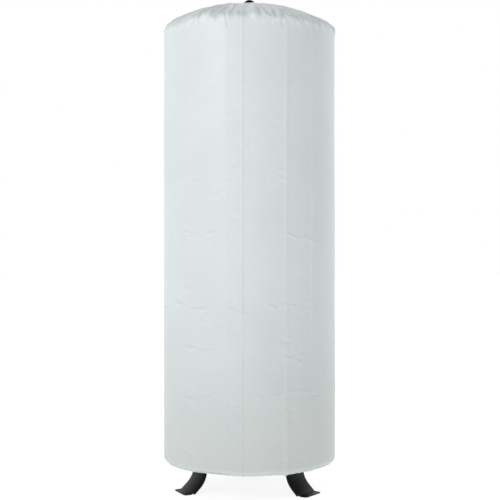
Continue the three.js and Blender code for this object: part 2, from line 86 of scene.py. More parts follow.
CAMERA_DISTANCE = 5.50
CAMERA_HEIGHT = 1.165
CAMERA_AZIMUTH = 4.65 * DEG
CAMERA_LENS = 80.2  # in mm, as the sensor's width is
SENSOR_WIDTH = 36
CAMERA_SHIFT = 0.0012  # a share of the picture's width


def new_object(name, data):
    obj = bpy.data.objects.new(name, data)
    bpy.context.collection.objects.link(obj)
    return obj


def make_camera():
    data = bpy.data.cameras.new("camera")
    data.lens = CAMERA_LENS
    data.sensor_width = SENSOR_WIDTH
    data.shift_x = CAMERA_SHIFT
    camera = new_object("camera", data)
    camera.location = (
        CAMERA_DISTANCE * math.sin(CAMERA_AZIMUTH),
        -CAMERA_DISTANCE * math.cos(CAMERA_AZIMUTH),
        CAMERA_HEIGHT,
    )
    camera.rotation_euler = (90 * DEG, 0, CAMERA_AZIMUTH)
    bpy.context.scene.camera = camera


make_camera()

# ------------------------------------------------------------------ materials


def colour(code):
    """An sRGB hex colour, such as "#dde4e6", as linear red, green, blue and alpha."""
    parts = [int(code[i : i + 2], 16) / 255 for i in (1, 3, 5)]
    return [c / 12.92 if c <= 0.04045 else ((c + 0.055) / 1.055) ** 2.4 for c in parts] + [1]


def set_sockets(tree, node, sockets):
    """Gives sockets constants or other nodes' outputs. A name that starts with an
    underscore is a socket's number, for nodes whose sockets share names."""
    for name, value in sockets.items():
        key = int(name[1:]) if name.startswith("_") else name.replace("_", " ")
        if isinstance(value, bpy.types.NodeSocket):
            tree.links.new(value, node.inputs[key])
        else:
            node.inputs[key].default_value = value


def add(tree, kind, settings=None, **sockets):
    """Adds a node with its settings and its sockets' values or links."""
    node = tree.nodes.new("ShaderNode" + kind)
    for name, value in (settings or {}).items():
        setattr(node, name, value)
    set_sockets(tree, node, sockets)
    return node


def new_material(name):
    """An empty material, its node tree, and its shader joined to the output."""
    material = bpy.data.materials.new(name)
    material.use_nodes = True
    tree = material.node_tree
    tree.nodes.clear()
    shader = add(tree, "BsdfPrincipled")
    add(tree, "OutputMaterial", Surface=shader.outputs[0])
    return material, tree, shader


def ramp(tree, factor, stops):
    """A colour ramp over factor, with stops as (place, sRGB hex colour)."""
    node = add(tree, "ValToRGB", Fac=factor)
    elements = node.color_ramp.elements
    while len(elements) < len(stops):
        elements.new(0.5)
    for element, (place, code) in zip(elements, stops):
        element.position = place
        element.color = colour(code)
    return node.outputs["Color"]


def join(tree, shader, **sockets):
    """Joins a shader's sockets to nodes' outputs, or sets them."""
    set_sockets(tree, shader, sockets)


def clouded(name, cloud, tints, gloss=None, grain=None, bump=None, **shader_values):
    """A material whose colour drifts between two tints over a cloud of noise. gloss is the
    least and most roughness over that cloud, and bump the (strength, distance) of a relief
    that follows the grain, a finer noise, or the cloud where there is no grain."""
    material, tree, shader = new_material(name)
    place = add(tree, "TexCoord").outputs["Object"]
    drift = add(tree, "TexNoise", Vector=place, **cloud).outputs["Fac"]
    tint = ramp(tree, drift, [(0.3, tints[0]), (0.7, tints[1])])
    join(tree, shader, Base_Color=tint, **shader_values)
    if gloss:
        shine = add(tree, "MapRange", Value=drift, To_Min=gloss[0], To_Max=gloss[1])
        join(tree, shader, Roughness=shine.outputs[0])
    if bump:
        height = add(tree, "TexNoise", Vector=place, **grain).outputs["Fac"] if grain else drift
        relief = add(tree, "Bump", Height=height, Strength=bump[0], Distance=bump[1])
        join(tree, shader, Normal=relief.outputs[0])
    return material


def patterned(name, kind, stops, settings=None, lean=None, bump=None, **values):
    """A material whose tint follows a pattern, which lean may turn. bump is the (strength,
    distance) of a relief that follows it too, upside down where the distance is below 0.
    The rest are the shader's values, but for the pattern's Scale and Distortion."""
    material, tree, shader = new_material(name)
    place = add(tree, "TexCoord").outputs["Object"]
    if lean:
        place = add(tree, "Mapping", Vector=place, Rotation=lean).outputs[0]
    shape = {key: values.pop(key) for key in ("Scale", "Distortion") if key in values}
    pattern = add(tree, kind, settings, Vector=place, **shape)
    height = pattern.outputs["Distance" if kind == "TexVoronoi" else "Fac"]
    join(tree, shader, Base_Color=ramp(tree, height, stops), **values)
    if bump:
        relief = add(
            tree, "Bump", {"invert": bump[1] < 0}, Height=height, Strength=bump[0],
            Distance=abs(bump[1]),
        )
        join(tree, shader, Normal=relief.outputs[0])
    return material


WAVE_UNIT = math.tau / 20  # a wave texture of scale 1 repeats after this length
THREAD_SPACING = 2 * MM


def coated_glass_cloth():
    """Plain-woven glass cloth with a white polyurethane coat: cool white, satin, with the
    weave just showing through the coat. The real threads are 0.6 mm apart, and are drawn
    2 mm apart so that they show."""
    material, tree, shader = new_material("coated_glass_cloth")
    uv = add(tree, "TexCoord").outputs["UV"]
    place = add(tree, "TexCoord").outputs["Object"]
    warp, weft = (
        add(tree, "TexWave", {"bands_direction": way}, Vector=uv, Scale=WAVE_UNIT / THREAD_SPACING)
        for way in "XY"
    )
    weave = add(
        tree, "Math", {"operation": "MAXIMUM"}, _0=warp.outputs["Fac"], _1=weft.outputs["Fac"]
    )
    cloud = add(tree, "TexNoise", Vector=place, Scale=3.0, Detail=3.0, Roughness=0.6)
    grime = add(tree, "TexNoise", Vector=place, Scale=1 / (18 * MM), Detail=5.0, Roughness=0.7)
    tint = ramp(tree, cloud.outputs["Fac"], [(0.3, "#dae1e3"), (0.7, "#dfe6e7")])
    spots = ramp(tree, grime.outputs["Fac"], [(0.35, "#fbfcfc"), (0.6, "#ffffff")])
    clean = add(
        tree, "Mix", {"data_type": "RGBA", "blend_type": "MULTIPLY"}, _0=1.0, _6=tint, _7=spots
    )
    # Painted shade: the cloth's colour is drawn darker and warmer towards the bottom, from about
    # 0.95 m down to 0.12 m.
    height = add(tree, "SeparateXYZ", Vector=place).outputs["Z"]
    dust_and_low_shade = ramp(tree, height, [(0.12, "#f0eeea"), (0.95, "#ffffff")])
    base = add(
        tree, "Mix", {"data_type": "RGBA", "blend_type": "MULTIPLY"}, _0=1.0,
        _6=clean.outputs[2], _7=dust_and_low_shade,
    )
    gloss = add(tree, "MapRange", Value=grime.outputs["Fac"], To_Min=0.42, To_Max=0.58)
    fine = add(tree, "Bump", Height=weave.outputs[0], Strength=0.35, Distance=0.06 * MM)
    crinkle = add(tree, "TexNoise", Vector=place, Scale=1 / (45 * MM), Detail=4.0, Roughness=0.55)
    bump = add(
        tree, "Bump", Height=crinkle.outputs["Fac"], Strength=0.5, Distance=0.3 * MM,
        Normal=fine.outputs[0],
    )
    join(
        tree, shader, Base_Color=base.outputs[2], Roughness=gloss.outputs[0],
        Normal=bump.outputs[0], Specular_IOR_Level=0.45, Sheen_Weight=0.08,
        Sheen_Roughness=0.5,
    )
    return material


def needled_fleece():
    """Needled polyester fleece: matt off-white fibres with no direction, clumped every few
    millimetres."""
    return clouded(
        "needled_fleece", {"Scale": 1 / (22 * MM), "Detail": 3.0}, ("#e4e2d8", "#f2f1ea"),
        grain={"Scale": 1 / (2.2 * MM), "Detail": 6.0, "Roughness": 0.75, "Distortion": 1.5},
        bump=(0.8, 1.2 * MM), Roughness=0.95, Sheen_Weight=0.4, Sheen_Roughness=0.6,
        Specular_IOR_Level=0.2,
    )


def woven_tape():
    """Polyester herringbone tape, light grey: ribs 1.2 mm apart, on a lean."""
    return patterned(
        "woven_tape", "TexWave", [(0.1, "#b4b8ba"), (0.8, "#d0d3d4")], {"bands_direction": "X"},
        (0, 45 * DEG, 0), (0.6, 0.2 * MM), Scale=WAVE_UNIT / (1.2 * MM), Distortion=0.6,
        Roughness=0.85, Sheen_Weight=0.15,
    )


def braided_cord():
    """Round braided polyester cord: two sets of strands that cross, off-white, with painted
    shade darkening the gaps between strands."""
    return patterned(
        "braided_cord", "TexVoronoi", [(0.1, "#e3e4e1"), (0.75, "#9ea3a3")],
        bump=(0.7, -0.35 * MM), Scale=1 / (1.3 * MM), Roughness=0.75, Sheen_Weight=0.2,
    )


def black_enamel():
    """Sprayed black enamel on pressed steel: semi-gloss with a fine orange peel, dulled by
    dust and thin rub marks."""
    material, tree, shader = new_material("black_enamel")
    place = add(tree, "TexCoord").outputs["Object"]
    peel = add(tree, "TexNoise", Vector=place, Scale=1 / (2.5 * MM), Detail=2.0)
    dust_and_low_shade = add(tree, "TexNoise", Vector=place, Scale=1 / (28 * MM), Detail=7.0, Roughness=0.68)
    long_way = add(tree, "Mapping", Vector=place, Scale=(1, 1, 0.12))
    rubs = add(tree, "TexNoise", Vector=long_way.outputs[0], Scale=1 / (5 * MM), Detail=4.0)
    tint = ramp(
        tree, dust_and_low_shade.outputs["Fac"], [(0.38, "#050606"), (0.62, "#0b0c0e"), (0.8, "#15181a")]
    )
    scuff = ramp(tree, rubs.outputs["Fac"], [(0.62, "#000000"), (0.74, "#1a1c1e")])
    base = add(
        tree, "Mix", {"data_type": "RGBA", "blend_type": "ADD"}, _0=0.6, _6=tint, _7=scuff
    )
    gloss = add(tree, "MapRange", Value=dust_and_low_shade.outputs["Fac"], To_Min=0.3, To_Max=0.56)
    bump = add(tree, "Bump", Height=peel.outputs["Fac"], Strength=0.25, Distance=0.12 * MM)
    join(tree, shader, Base_Color=base.outputs[2], Roughness=gloss.outputs[0],
         Normal=bump.outputs[0], Specular_IOR_Level=0.12)
    return material


def grey_primer():
    """Matt zinc-phosphate primer, sprayed grey on hot-rolled plate: flat, patchy and a
    little grainy."""
    return clouded(
        "grey_primer", {"Scale": 6.0, "Detail": 6.0, "Roughness": 0.6}, ("#62696d", "#767d81"),
        gloss=(0.5, 0.68), grain={"Scale": 1 / (1.6 * MM), "Detail": 3.0}, bump=(0.3, 0.15 * MM),
    )


def weld_steel():
    """Weld metal under thin primer: darker, with the ripple of each pass."""
    return patterned(
        "weld_steel", "TexVoronoi", [(0.1, "#6d7478"), (0.8, "#4b5154")],
        bump=(0.8, 0.8 * MM), Scale=1 / (5 * MM), Roughness=0.5, Metallic=0.4,
    )


def nickel_plate():
    """Nickel-plated zinc die casting: bright, slightly clouded, with the softest of cast
    ripples under the plating."""
    return clouded(
        "nickel_plate", {"Scale": 1 / (6 * MM), "Detail": 4.0}, ("#b4b6b6", "#cbccca"),
        gloss=(0.18, 0.36), bump=(0.2, 0.1 * MM), Metallic=1.0,
    )


def spring_wire():
    """Hard-drawn spring wire: bright, with fine streaks from the die."""
    return clouded(
        "spring_wire", {"Scale": 1 / (0.5 * MM), "Detail": 2.0}, ("#a9acae", "#cfd1d2"),
        Roughness=0.25, Metallic=1.0,
    )


def moulded_acetal():
    """Injection-moulded acetal, dark grey: satin, with a fine spark-eroded grain."""
    return clouded(
        "moulded_acetal", {"Scale": 1 / (9 * MM), "Detail": 2.0}, ("#43474a", "#4d5154"),
        grain={"Scale": 1 / (0.5 * MM), "Detail": 2.0}, bump=(0.3, 0.05 * MM), Roughness=0.42,
        IOR=1.48,
    )


def coil_filament():
    """Polyester monofilament of the zip's coil: light grey, smooth and a little waxy."""
    return clouded(
        "coil_filament", {"Scale": 1 / (4 * MM), "Detail": 2.0}, ("#b9bcbd", "#c9cccd"),
        Roughness=0.32, IOR=1.57,
    )


def sewing_thread():
    """Bonded polyester sewing thread, white, with the twist of its strands."""
    return patterned(
        "sewing_thread", "TexWave", [(0.1, "#cfd4d5"), (0.8, "#eceeee")], lean=(0.6, 0.6, 0.6),
        Scale=WAVE_UNIT / (0.6 * MM), Roughness=0.6, Sheen_Weight=0.2,
    )


def studio_paper():
    """Matt white background paper with a faint tooth, lit from behind as a light table is,
    so that it stays white and the shadow on it is soft."""
    return clouded(
        "studio_paper", {"Scale": 1 / (60 * MM), "Detail": 3.0}, ("#8c8c8c", "#909090"),
        Roughness=0.9, Specular_IOR_Level=0.1, Emission_Color=colour("#ffffff"),
        Emission_Strength=0.86,
    )


def studio_backdrop():
    """A white painted wall lit evenly all over, so no shade shows on it."""
    material, tree, shader = new_material("studio_backdrop")
    join(tree, shader, Base_Color=colour("#000000"), Roughness=1.0, Specular_IOR_Level=0.0,
         Emission_Color=colour("#ffffff"), Emission_Strength=1.0)
    return material


CLOTH = coated_glass_cloth()
FLEECE = needled_fleece()
TAPE = woven_tape()
CORD = braided_cord()
ENAMEL = black_enamel()
PRIMER = grey_primer()
WELD = weld_steel()
NICKEL = nickel_plate()
SPRING = spring_wire()
ACETAL = moulded_acetal()
COIL = coil_filament()
THREAD = sewing_thread()

# ------------------------------------------------------------------ making pieces


def coated(name, data, material):
    """A new object with one material all over."""
    obj = new_object(name, data)
    data.materials.append(material)
    return obj


def put_on(obj, body, replaces):
    """Gives a piece the body that it rides on and what it stands for."""
    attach(obj, body)
    if replaces:
        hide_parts(*replaces)
    return obj


def mesh_from(name, bm):
    """A bmesh's mesh. The bmesh isn't used after it."""
    mesh = bpy.data.meshes.new(name)
    bm.to_mesh(mesh)
    bm.free()
    return mesh


def piece(name, bm, material, body, replaces=(), bevel=0.0, smooth=True, tidy=True):
    """Turns a bmesh into a finished piece that rides on body and stands for CAD nodes."""
    if tidy:
        bmesh.ops.remove_doubles(bm, verts=bm.verts, dist=1e-6)
        bmesh.ops.recalc_face_normals(bm, faces=bm.faces)
    return mesh_piece(name, mesh_from(name, bm), material, body, replaces, bevel, smooth)


def mesh_piece(name, mesh, material, body, replaces=(), bevel=0.0, smooth=True):
    """The same from a mesh. bevel is the width that its sharp edges are rounded over."""
    obj = coated(name, mesh, material)
    if smooth:
        mesh.shade_smooth()
    if bevel:
        rounding = obj.modifiers.new("rounding", "BEVEL")
        rounding.width = bevel
        rounding.segments = 3
        rounding.limit_method = "ANGLE"
        rounding.angle_limit = 35 * DEG
        rounding.harden_normals = True
    return put_on(obj, body, replaces)


def place_at(radius, angle, z):
    """A place by its angle from the front."""
    return (radius * math.sin(angle), -radius * math.cos(angle), z)


def places_at(radius, angle, z):
    """The same for arrays of places."""
    return np.stack([radius * np.sin(angle), -radius * np.cos(angle), z], 1)


def turned(profile, steps, bm=None):
    """A closed profile of (radius, z) places spun round the vessel's axis."""
    bm = bm or bmesh.new()
    verts = [bm.verts.new((radius, 0, z)) for radius, z in profile]
    edges = [bm.edges.new(pair) for pair in zip(verts, verts[1:] + verts[:1])]
    bmesh.ops.spin(
        bm, geom=verts + edges, cent=(0, 0, 0), axis=(0, 0, 1), angle=math.tau, steps=steps,
        use_merge=True,
    )
    bmesh.ops.remove_doubles(bm, verts=bm.verts, dist=1e-6)
    bmesh.ops.dissolve_degenerate(bm, edges=bm.edges, dist=1e-7)
    return bm


def block(bm, lowest, highest):
    """A box between two corners, as a new part of bm."""
    size = Vector(highest) - Vector(lowest)
    middle = (Vector(highest) + Vector(lowest)) / 2
    place = Matrix.Translation(middle) @ Matrix.Diagonal((*size, 1))
    bmesh.ops.create_cube(bm, size=1, matrix=place)


def z_range(node):
    """The lowest and highest z of a CAD node."""
    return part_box(node)[0][2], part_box(node)[1][2]


def merged_copy(node):
    """A bmesh of a CAD node with its loose triangles merged and flat faces joined."""
    bm = bmesh.new()
    bm.from_mesh(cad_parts[node].data)
    bmesh.ops.remove_doubles(bm, verts=bm.verts, dist=1e-5)
    bmesh.ops.dissolve_limit(
        bm, angle_limit=1 * DEG, verts=bm.verts, edges=bm.edges, delimit={"NORMAL"}
    )
    return bm


def copied(name, node, material, body, bevel):
    """A piece that is a CAD node with its edges rounded."""
    piece(name, merged_copy(node), material, body, [node], bevel)


def vectors(items, key):
    """An array with one vector for each item, such as each vertex's place."""
    values = np.empty(len(items) * 3)
    items.foreach_get(key, values)
    return values.reshape(-1, 3)


def move_vertices(mesh, places):
    mesh.vertices.foreach_set("co", places.ravel())
    mesh.update()


def round_curve(name, kind, count, radius):
    """A curve's data with a round section and count points, and its spline."""
    data = bpy.data.curves.new(name, "CURVE")
    data.dimensions = "3D"
    data.bevel_depth = radius
    data.use_fill_caps = True
    spline = data.splines.new(kind)
    (spline.bezier_points if kind == "BEZIER" else spline.points).add(count - 1)
    return data, spline


def cord_piece(name, points, radius, material, body, replaces=(), cyclic=False):
    """A round cord through points, as a curve with a round section."""
    data, spline = round_curve(name, "BEZIER", len(points), radius)
    data.bevel_resolution = 3
    data.resolution_u = 4
    for bezier, point in zip(spline.bezier_points, points):
        bezier.co = point
        bezier.handle_left_type = "AUTO"
        bezier.handle_right_type = "AUTO"
    spline.use_cyclic_u = cyclic
    return put_on(coated(name, data, material), body, replaces)


# ------------------------------------------------------------------ the jacket's outline


def arc(centre, across, rise, start, end, steps):
    """Places on an ellipse's arc from start to end, in radians."""
    angles = np.linspace(start, end, steps)
    return np.stack([centre[0] + across * np.cos(angles), centre[1] + rise * np.sin(angles)], 1)


def smooth_step(x):
    x = np.clip(x, 0, 1)
    return x * x * (3 - 2 * x)


def slump(radius):
    """How far the dome's slope hangs below an ellipse, where the cloth isn't held up."""
    share = np.clip(radius / JACKET_RADIUS, 0, 1)
    hang = 22 * MM * share**3 * (1 - share**10) + 4 * MM * smooth_step((0.9 - share) / 0.3)
    return hang + 8 * MM * np.exp(-(((share - 0.8) / 0.15) ** 2))


def jacket_outline():
    """The jacket's (radius, z) places from its neck to its hem, closely spaced."""
    start = math.acos(NECK_FOOT_RADIUS / JACKET_RADIUS)
    dome = arc((0, SHOULDER_Z), JACKET_RADIUS, DOME_RISE, start, 0, 160)
    dome[:, 1] -= slump(dome[:, 0])
    upturn_centre = (NECK_FOOT_RADIUS, dome[0][1] + NECK_UPTURN)
    upturn = arc(upturn_centre, NECK_UPTURN, NECK_UPTURN, 188 * DEG, 268 * DEG, 12)
    corner_centre = (JACKET_RADIUS - HEM_CORNER, HEM_CORNER_Z)
    corner = arc(corner_centre, HEM_CORNER, HEM_CORNER, 0, -HEM_TURN, 24)
    return np.concatenate([upturn, dome, corner])


class Outline:
    """The jacket's outline by the length along it from the neck."""

    def __init__(self, places):
        steps = np.linalg.norm(np.diff(places, axis=0), axis=1)
        self.along = np.concatenate([[0], np.cumsum(steps)])
        self.places = places
        self.length = self.along[-1]

    def at(self, s):
        return np.stack([np.interp(s, self.along, self.places[:, k]) for k in (0, 1)], -1)

    def normal(self, s):
        step = 1 * MM
        ahead = self.at(np.minimum(s + step, self.length))
        way = ahead - self.at(np.maximum(s - step, 0))
        way /= np.linalg.norm(way, axis=-1, keepdims=True)
        return np.stack([-way[..., 1], way[..., 0]], -1)

    def length_at_z(self, z):
        return float(np.interp(-z, -self.places[:, 1], self.along))


OUTLINE = Outline(jacket_outline())

# ------------------------------------------------------------------ folds in the cloth


def bump_across(distance, rise, fall):
    """A ridge's section: it rises over one width and falls over another."""
    return np.exp(-((distance / np.where(distance < 0, rise, fall)) ** 2))


def turn_between(a, b):
    """The angle from b to a, the short way round."""
    return (a - b + math.pi) % math.tau - math.pi


def tilted(across, up, tilt):
    """A place's coordinates along a tilted line and square to it."""
    c, s = math.cos(tilt), math.sin(tilt)
    return across * c + up * s, up * c - across * s


PLEATS = 46

# Pleats seen at the front: angle in degrees at the shoulder, z where it dies out, height,
# the side its steep face is on (1 is the right), drift in degrees towards the neck, width.
FRONT_PLEATS = [
    (-49.0, 2170, 10.1, 1, 9, 15),
    (-41.0, 2205, 7.0, 1, 4, 13),
    (-31.0, 2215, 12.4, 1, 3, 15),
    (-21.5, 2225, 12.4, 1, 5, 14),
    (-16.0, 2228, 9.3, 1, -2, 10),
    (-8.6, 2192, 8.5, 1, -2, 11),
    (7.6, 2226, 11.0, -1, 0, 17),
    (14.5, 2222, 9.0, 1, -4, 14),
    (20.6, 2208, 13.2, 1, -1, 12),
    (25.0, 2216, 11.6, 1, -2, 13),
    (33.0, 2196, 8.5, -1, -4, 14),
    (39.0, 2190, 7.8, -1, -6, 12),
    (48.0, 2200, 9.3, 1, -5, 15),
    (58.0, 2178, 7.8, -1, -6, 13),
]


def make_pleats():
    """Each pleat's angle, the z where it dies out, height, steep side, drift and width."""
    draw = random.Random(41)
    pleats = [
        (degrees * DEG, z * MM, tall * MM, side, drift * DEG, width * MM)
        for degrees, z, tall, side, drift, width in FRONT_PLEATS
    ]
    for i in range(PLEATS):
        angle = math.tau * (i + draw.uniform(-0.3, 0.3)) / PLEATS
        low, tall = draw.uniform(2185, 2240) * MM, draw.uniform(7, 12.5) * MM
        side, drift = draw.choice((-1, 1)), draw.uniform(-6, 6) * DEG
        width = draw.uniform(11, 18) * MM
        if math.cos(angle) < math.cos(63 * DEG):
            pleats.append((angle, low, tall, side, drift, width))
    return pleats


def pleat_field(angle, radius, z):
    """How far the gathered cloth of the dome stands out, from all the pleats."""
    height = np.zeros_like(radius)
    room = math.tau * radius / PLEATS
    for middle, low, tall, side, drift, width in make_pleats():
        line = middle + drift * (1 - radius / JACKET_RADIUS)
        across = turn_between(angle, line) * radius * side
        wide = np.minimum(width, 0.5 * room)
        fade = smooth_step((z - low + 26 * MM) / (70 * MM))
        fade = fade * (0.4 + 0.6 * smooth_step((z - 2212 * MM) / (50 * MM)))
        fade = fade * (0.3 + 0.7 * smooth_step((radius - 170 * MM) / (160 * MM)))
        height += fade * np.minimum(tall, 0.85 * wide) * bump_across(across, wide, 0.3 * wide)
    return height


# Puffs of slack cloth between the pleats: angle in degrees, z, half width, half height,
# how far out, and tilt in degrees.
PUFFS = [
    (7.4, 2252, 27, 24, 8.0, 0),
    (15.5, 2246, 26, 8, 6.0, -38),
    (-26.5, 2240, 22, 17, 9.0, 30),
    (-37.0, 2232, 28, 13, 8.0, 35),
    (30.5, 2240, 24, 11, 6.0, -30),
    (44.0, 2232, 24, 10, 5.5, -35),
    (-3.5, 2254, 10, 22, 5.0, 0),
    (-12.5, 2236, 18, 16, 7.0, -15),
    (-18.8, 2230, 14, 20, 6.0, 20),
    (-46.0, 2218, 26, 14, 6.0, 45),
    (-57.0, 2226, 24, 12, 5.0, 20),
    (22.5, 2234, 16, 18, 4.0, -25),
    (36.5, 2226, 22, 9, 4.0, -50),
    (52.5, 2222, 26, 13, 4.5, -40),
    (60.0, 2236, 20, 12, 4.5, 10),
    (-37.6, 2268, 36, 22, 9.0, 25),
    (-24.4, 2260, 25, 24, 8.0, 0),
    (-12.5, 2278, 40, 26, -7.0, 10),
    (6.3, 2286, 26, 30, 7.0, 0),
    (-50.0, 2262, 30, 16, -5.0, 30),
    (24.0, 2268, 30, 20, 5.0, -35),
    (44.0, 2262, 34, 18, 5.0, -30),
    # Nicks, where a gather pulls the shoulder in.
    (-9.3, 2210, 8, 28, -5.0, 0),
    (-17.0, 2236, 10, 22, -6.0, -20),
    (-29.5, 2222, 8, 22, -4.5, 12),
    (-50.0, 2246, 32, 9, -6.0, 30),
    (20.7, 2243, 8, 16, -6.0, 0),
    (25.8, 2214, 8, 20, -4.0, 14),
]


def make_puffs():
    draw = random.Random(5)
    puffs = list(PUFFS)
    for i in range(30):
        degrees = 66 + 228 * (i + draw.uniform(-0.3, 0.3)) / 30
        puffs.append((
            degrees, draw.uniform(2226, 2252), draw.uniform(15, 27), draw.uniform(9, 20),
            draw.uniform(2, 5), draw.uniform(-45, 45),
        ))
    return puffs


def puff_field(angle, z):
    height = np.zeros_like(z)
    for degrees, middle, wide, high, out, tilt in make_puffs():
        across = turn_between(angle, degrees * DEG) * JACKET_RADIUS
        along, over = tilted(across, z - middle * MM, tilt * DEG)
        along, over = along / (wide * MM), over / (high * MM)
        reach = along * along + over * over
        height += out * MM * smooth_step(1.25 - reach)
    return height


# Creases where the jacket was folded flat for packing: angle from the front, in degrees,
# height (a valley is below 0) and half width.
PACKING_CREASES = [
    (-10.0, 2.0 * MM, 15 * MM),
    (28.6, 4.6 * MM, 15 * MM),
    (48.8, 4.4 * MM, 12 * MM),
    (-36.0, 1.6 * MM, 18 * MM),
    (-62.0, 2.0 * MM, 15 * MM),
    (97.0, -2.6 * MM, 14 * MM),
    (-112.0, 3.0 * MM, 14 * MM),
    (138.0, 3.0 * MM, 14 * MM),
    (-150.0, -2.6 * MM, 14 * MM),
]


def crease_field(angle, z):
    height = np.zeros_like(z)
    for degrees, tall, width in PACKING_CREASES:
        wander = 2.2 * MM * np.sin(z * 3.1 + degrees) + 1.1 * MM * np.sin(z * 9.7 + degrees)
        across = turn_between(angle, degrees * DEG) * JACKET_RADIUS + wander
        strength = 0.75 + 0.25 * np.sin(z * 4.3 + 2 * degrees)
        height += tall * strength * np.exp(-np.abs(across) / width)
    top = smooth_step((SHOULDER_Z + 60 * MM - z) / (120 * MM))
    return height * top


# Small wrinkles: the heights where they gather, in metres, and how many at each.
WRINKLE_BANDS = [
    (0.17, 12), (0.48, 16), (0.70, 12), (0.90, 16), (1.23, 12), (1.49, 14), (1.75, 8)
]


def make_wrinkles():
    """Each wrinkle's angle, z, tilt, half length, half width and height."""
    draw = random.Random(7)
    wrinkles = []
    for z, count in WRINKLE_BANDS:
        for _ in range(count):
            near_crease = draw.random() < 0.55
            if near_crease:
                degrees = draw.choice(PACKING_CREASES)[0] + draw.uniform(-5, 5)
            else:
                degrees = draw.uniform(-180, 180)
            wrinkles.append((
                degrees * DEG, z + draw.gauss(0, 0.045), draw.uniform(-32, 32) * DEG,
                draw.uniform(14, 42) * MM, draw.uniform(4.5, 8) * MM,
                draw.choice((-1, 1)) * draw.uniform(1.6, 3.4) * MM,
            ))
    return wrinkles


def wrinkle_field(angle, z):
    height = np.zeros_like(z)
    for middle, low, tilt, long, wide, tall in make_wrinkles():
        across = turn_between(angle, middle) * JACKET_RADIUS
        along, over = tilted(across, z - low, tilt)
        along, over = along / long, over / wide
        height += tall * np.exp(-along * along - over * over)
    return height


# Shallow folds that hang in a curve between two places: their angles in degrees, the z of
# the ends, how far the middle sags, half width and height, in mm.
GARLANDS = [
    (-47, -8, 1268, 36, 8, 2.6),
    (-31, -10, 1222, 16, 7, 2.2),
    (-44, -28, 1585, 14, 7, 1.8),
    (-52, -10, 924, 38, 8, 3.0),
    (-14, -1, 905, 14, 6, 2.2),
    (16, 28, 915, 16, 7, 2.6),
    (28, 38, 918, 14, 6, 2.6),
    (30, 47, 1236, 18, 6, 1.8),
    (-40, -12, 716, 18, 8, 2.0),
    (20, 44, 688, 20, 8, 2.2),
    (-50, -20, 492, 22, 8, 2.2),
    (2, 27, 506, 14, 7, 1.8),
    (-30, -4, 1492, 18, 7, 1.6),
]


def make_garlands():
    draw = random.Random(23)
    garlands = list(GARLANDS)
    for z, _ in WRINKLE_BANDS:
        for _ in range(4):
            start, turn = draw.uniform(62, 280), draw.uniform(14, 38)
            place, sag = 1000 * z + draw.gauss(0, 35), draw.uniform(12, 36)
            wide, tall = draw.uniform(6, 9), draw.uniform(1.6, 3)
            garlands.append((start, start + turn, place, sag, wide, tall))
    return garlands


def garland_field(angle, z):
    height = np.zeros_like(z)
    for start, end, place, sag, wide, tall in make_garlands():
        middle, half = (start + end) / 2 * DEG, (end - start) / 2 * DEG
        across = turn_between(angle, middle) / half
        line = place - sag * (1 - np.abs(across) ** 1.5) + 3 * np.sin(9 * across + 2 * place)
        over = (z - line * MM) / (wide * MM)
        fade = smooth_step((1.12 - np.abs(across)) / 0.4)
        fade = fade * (0.55 + 0.45 * np.sin(6.5 * across + place))
        height += tall * MM * fade * (np.exp(-over * over) - 0.5 * np.exp(-((over - 1.7) ** 2)))
    return height


def billow_field(angle, z):
    """Wide, shallow waves of cloth that hangs from the shoulder."""
    return (
        0.9 * MM * np.sin(5 * angle + 1.3 * z + 0.4)
        + 0.7 * MM * np.sin(9 * angle - 2.1 * z + 1.9)
        + 0.5 * MM * np.sin(3 * angle + 7.3 * z)
    )


def lean_field(angle, radius, z):
    """The dome sits a little lower on the right than on the left."""
    share = radius / JACKET_RADIUS
    lean = 4.5 * MM * np.sin(angle) * np.exp(-(((share - 0.8) / 0.16) ** 2))
    return -lean * smooth_step((z - SHOULDER_Z) / (25 * MM))


SEAM_HALF_WIDTH = 6 * MM


def seam_field(angle, radius):
    """The felled front seam: a low flat band with a crown on the joint."""
    across = turn_between(angle, 0) * radius
    band = 0.8 * MM * smooth_step((SEAM_HALF_WIDTH + 2 * MM - np.abs(across)) / (3 * MM))
    crown = 0.9 * MM * np.exp(-((across / (3.2 * MM)) ** 2))
    return band + crown


HEM_STITCH_UP = 27 * MM  # the hem's stitch line, from the hem's edge


def hem_field(s, angle):
    """The pinch at the hem's stitches, and the puckers that the cord draws below it."""
    up = OUTLINE.length - s
    pinch = -3.0 * MM * np.exp(-(((up - HEM_STITCH_UP) / (3.0 * MM)) ** 2))
    low_part = smooth_step((HEM_STITCH_UP + 18 * MM - up) / (40 * MM))
    puckers = 0.55 * np.sin(64 * angle) + 0.45 * np.sin(97 * angle + 1.1 * np.sin(11 * angle))
    return pinch + 0.8 * MM * low_part * puckers


def cloth_height(s, angle, radius, z):
    on_body = smooth_step((SHOULDER_Z + 100 * MM - z) / (140 * MM))
    return (
        pleat_field(angle, radius, z)
        + puff_field(angle, z)
        + lean_field(angle, radius, z)
        + crease_field(angle, z)
        + wrinkle_field(angle, z) * on_body
        + garland_field(angle, z)
        + billow_field(angle, z) * on_body
        + seam_field(angle, radius)
        + hem_field(s, angle)
    )


def spaced(length, fine_places, coarse, fine, reach, count):
    """count + 1 places from 0 to length, closer together near the fine places."""
    x = np.linspace(0, length, 4000)
    density = np.full_like(x, 1 / coarse)
    for place in fine_places:
        density += (1 / fine - 1 / coarse) * np.exp(-(((x - place) / reach) ** 2))
    total = np.concatenate([[0], np.cumsum((density[1:] + density[:-1]) / 2 * np.diff(x))])
    return np.interp(np.linspace(0, total[-1], count + 1), total, x)


COLUMNS = 250
ROWS = 385


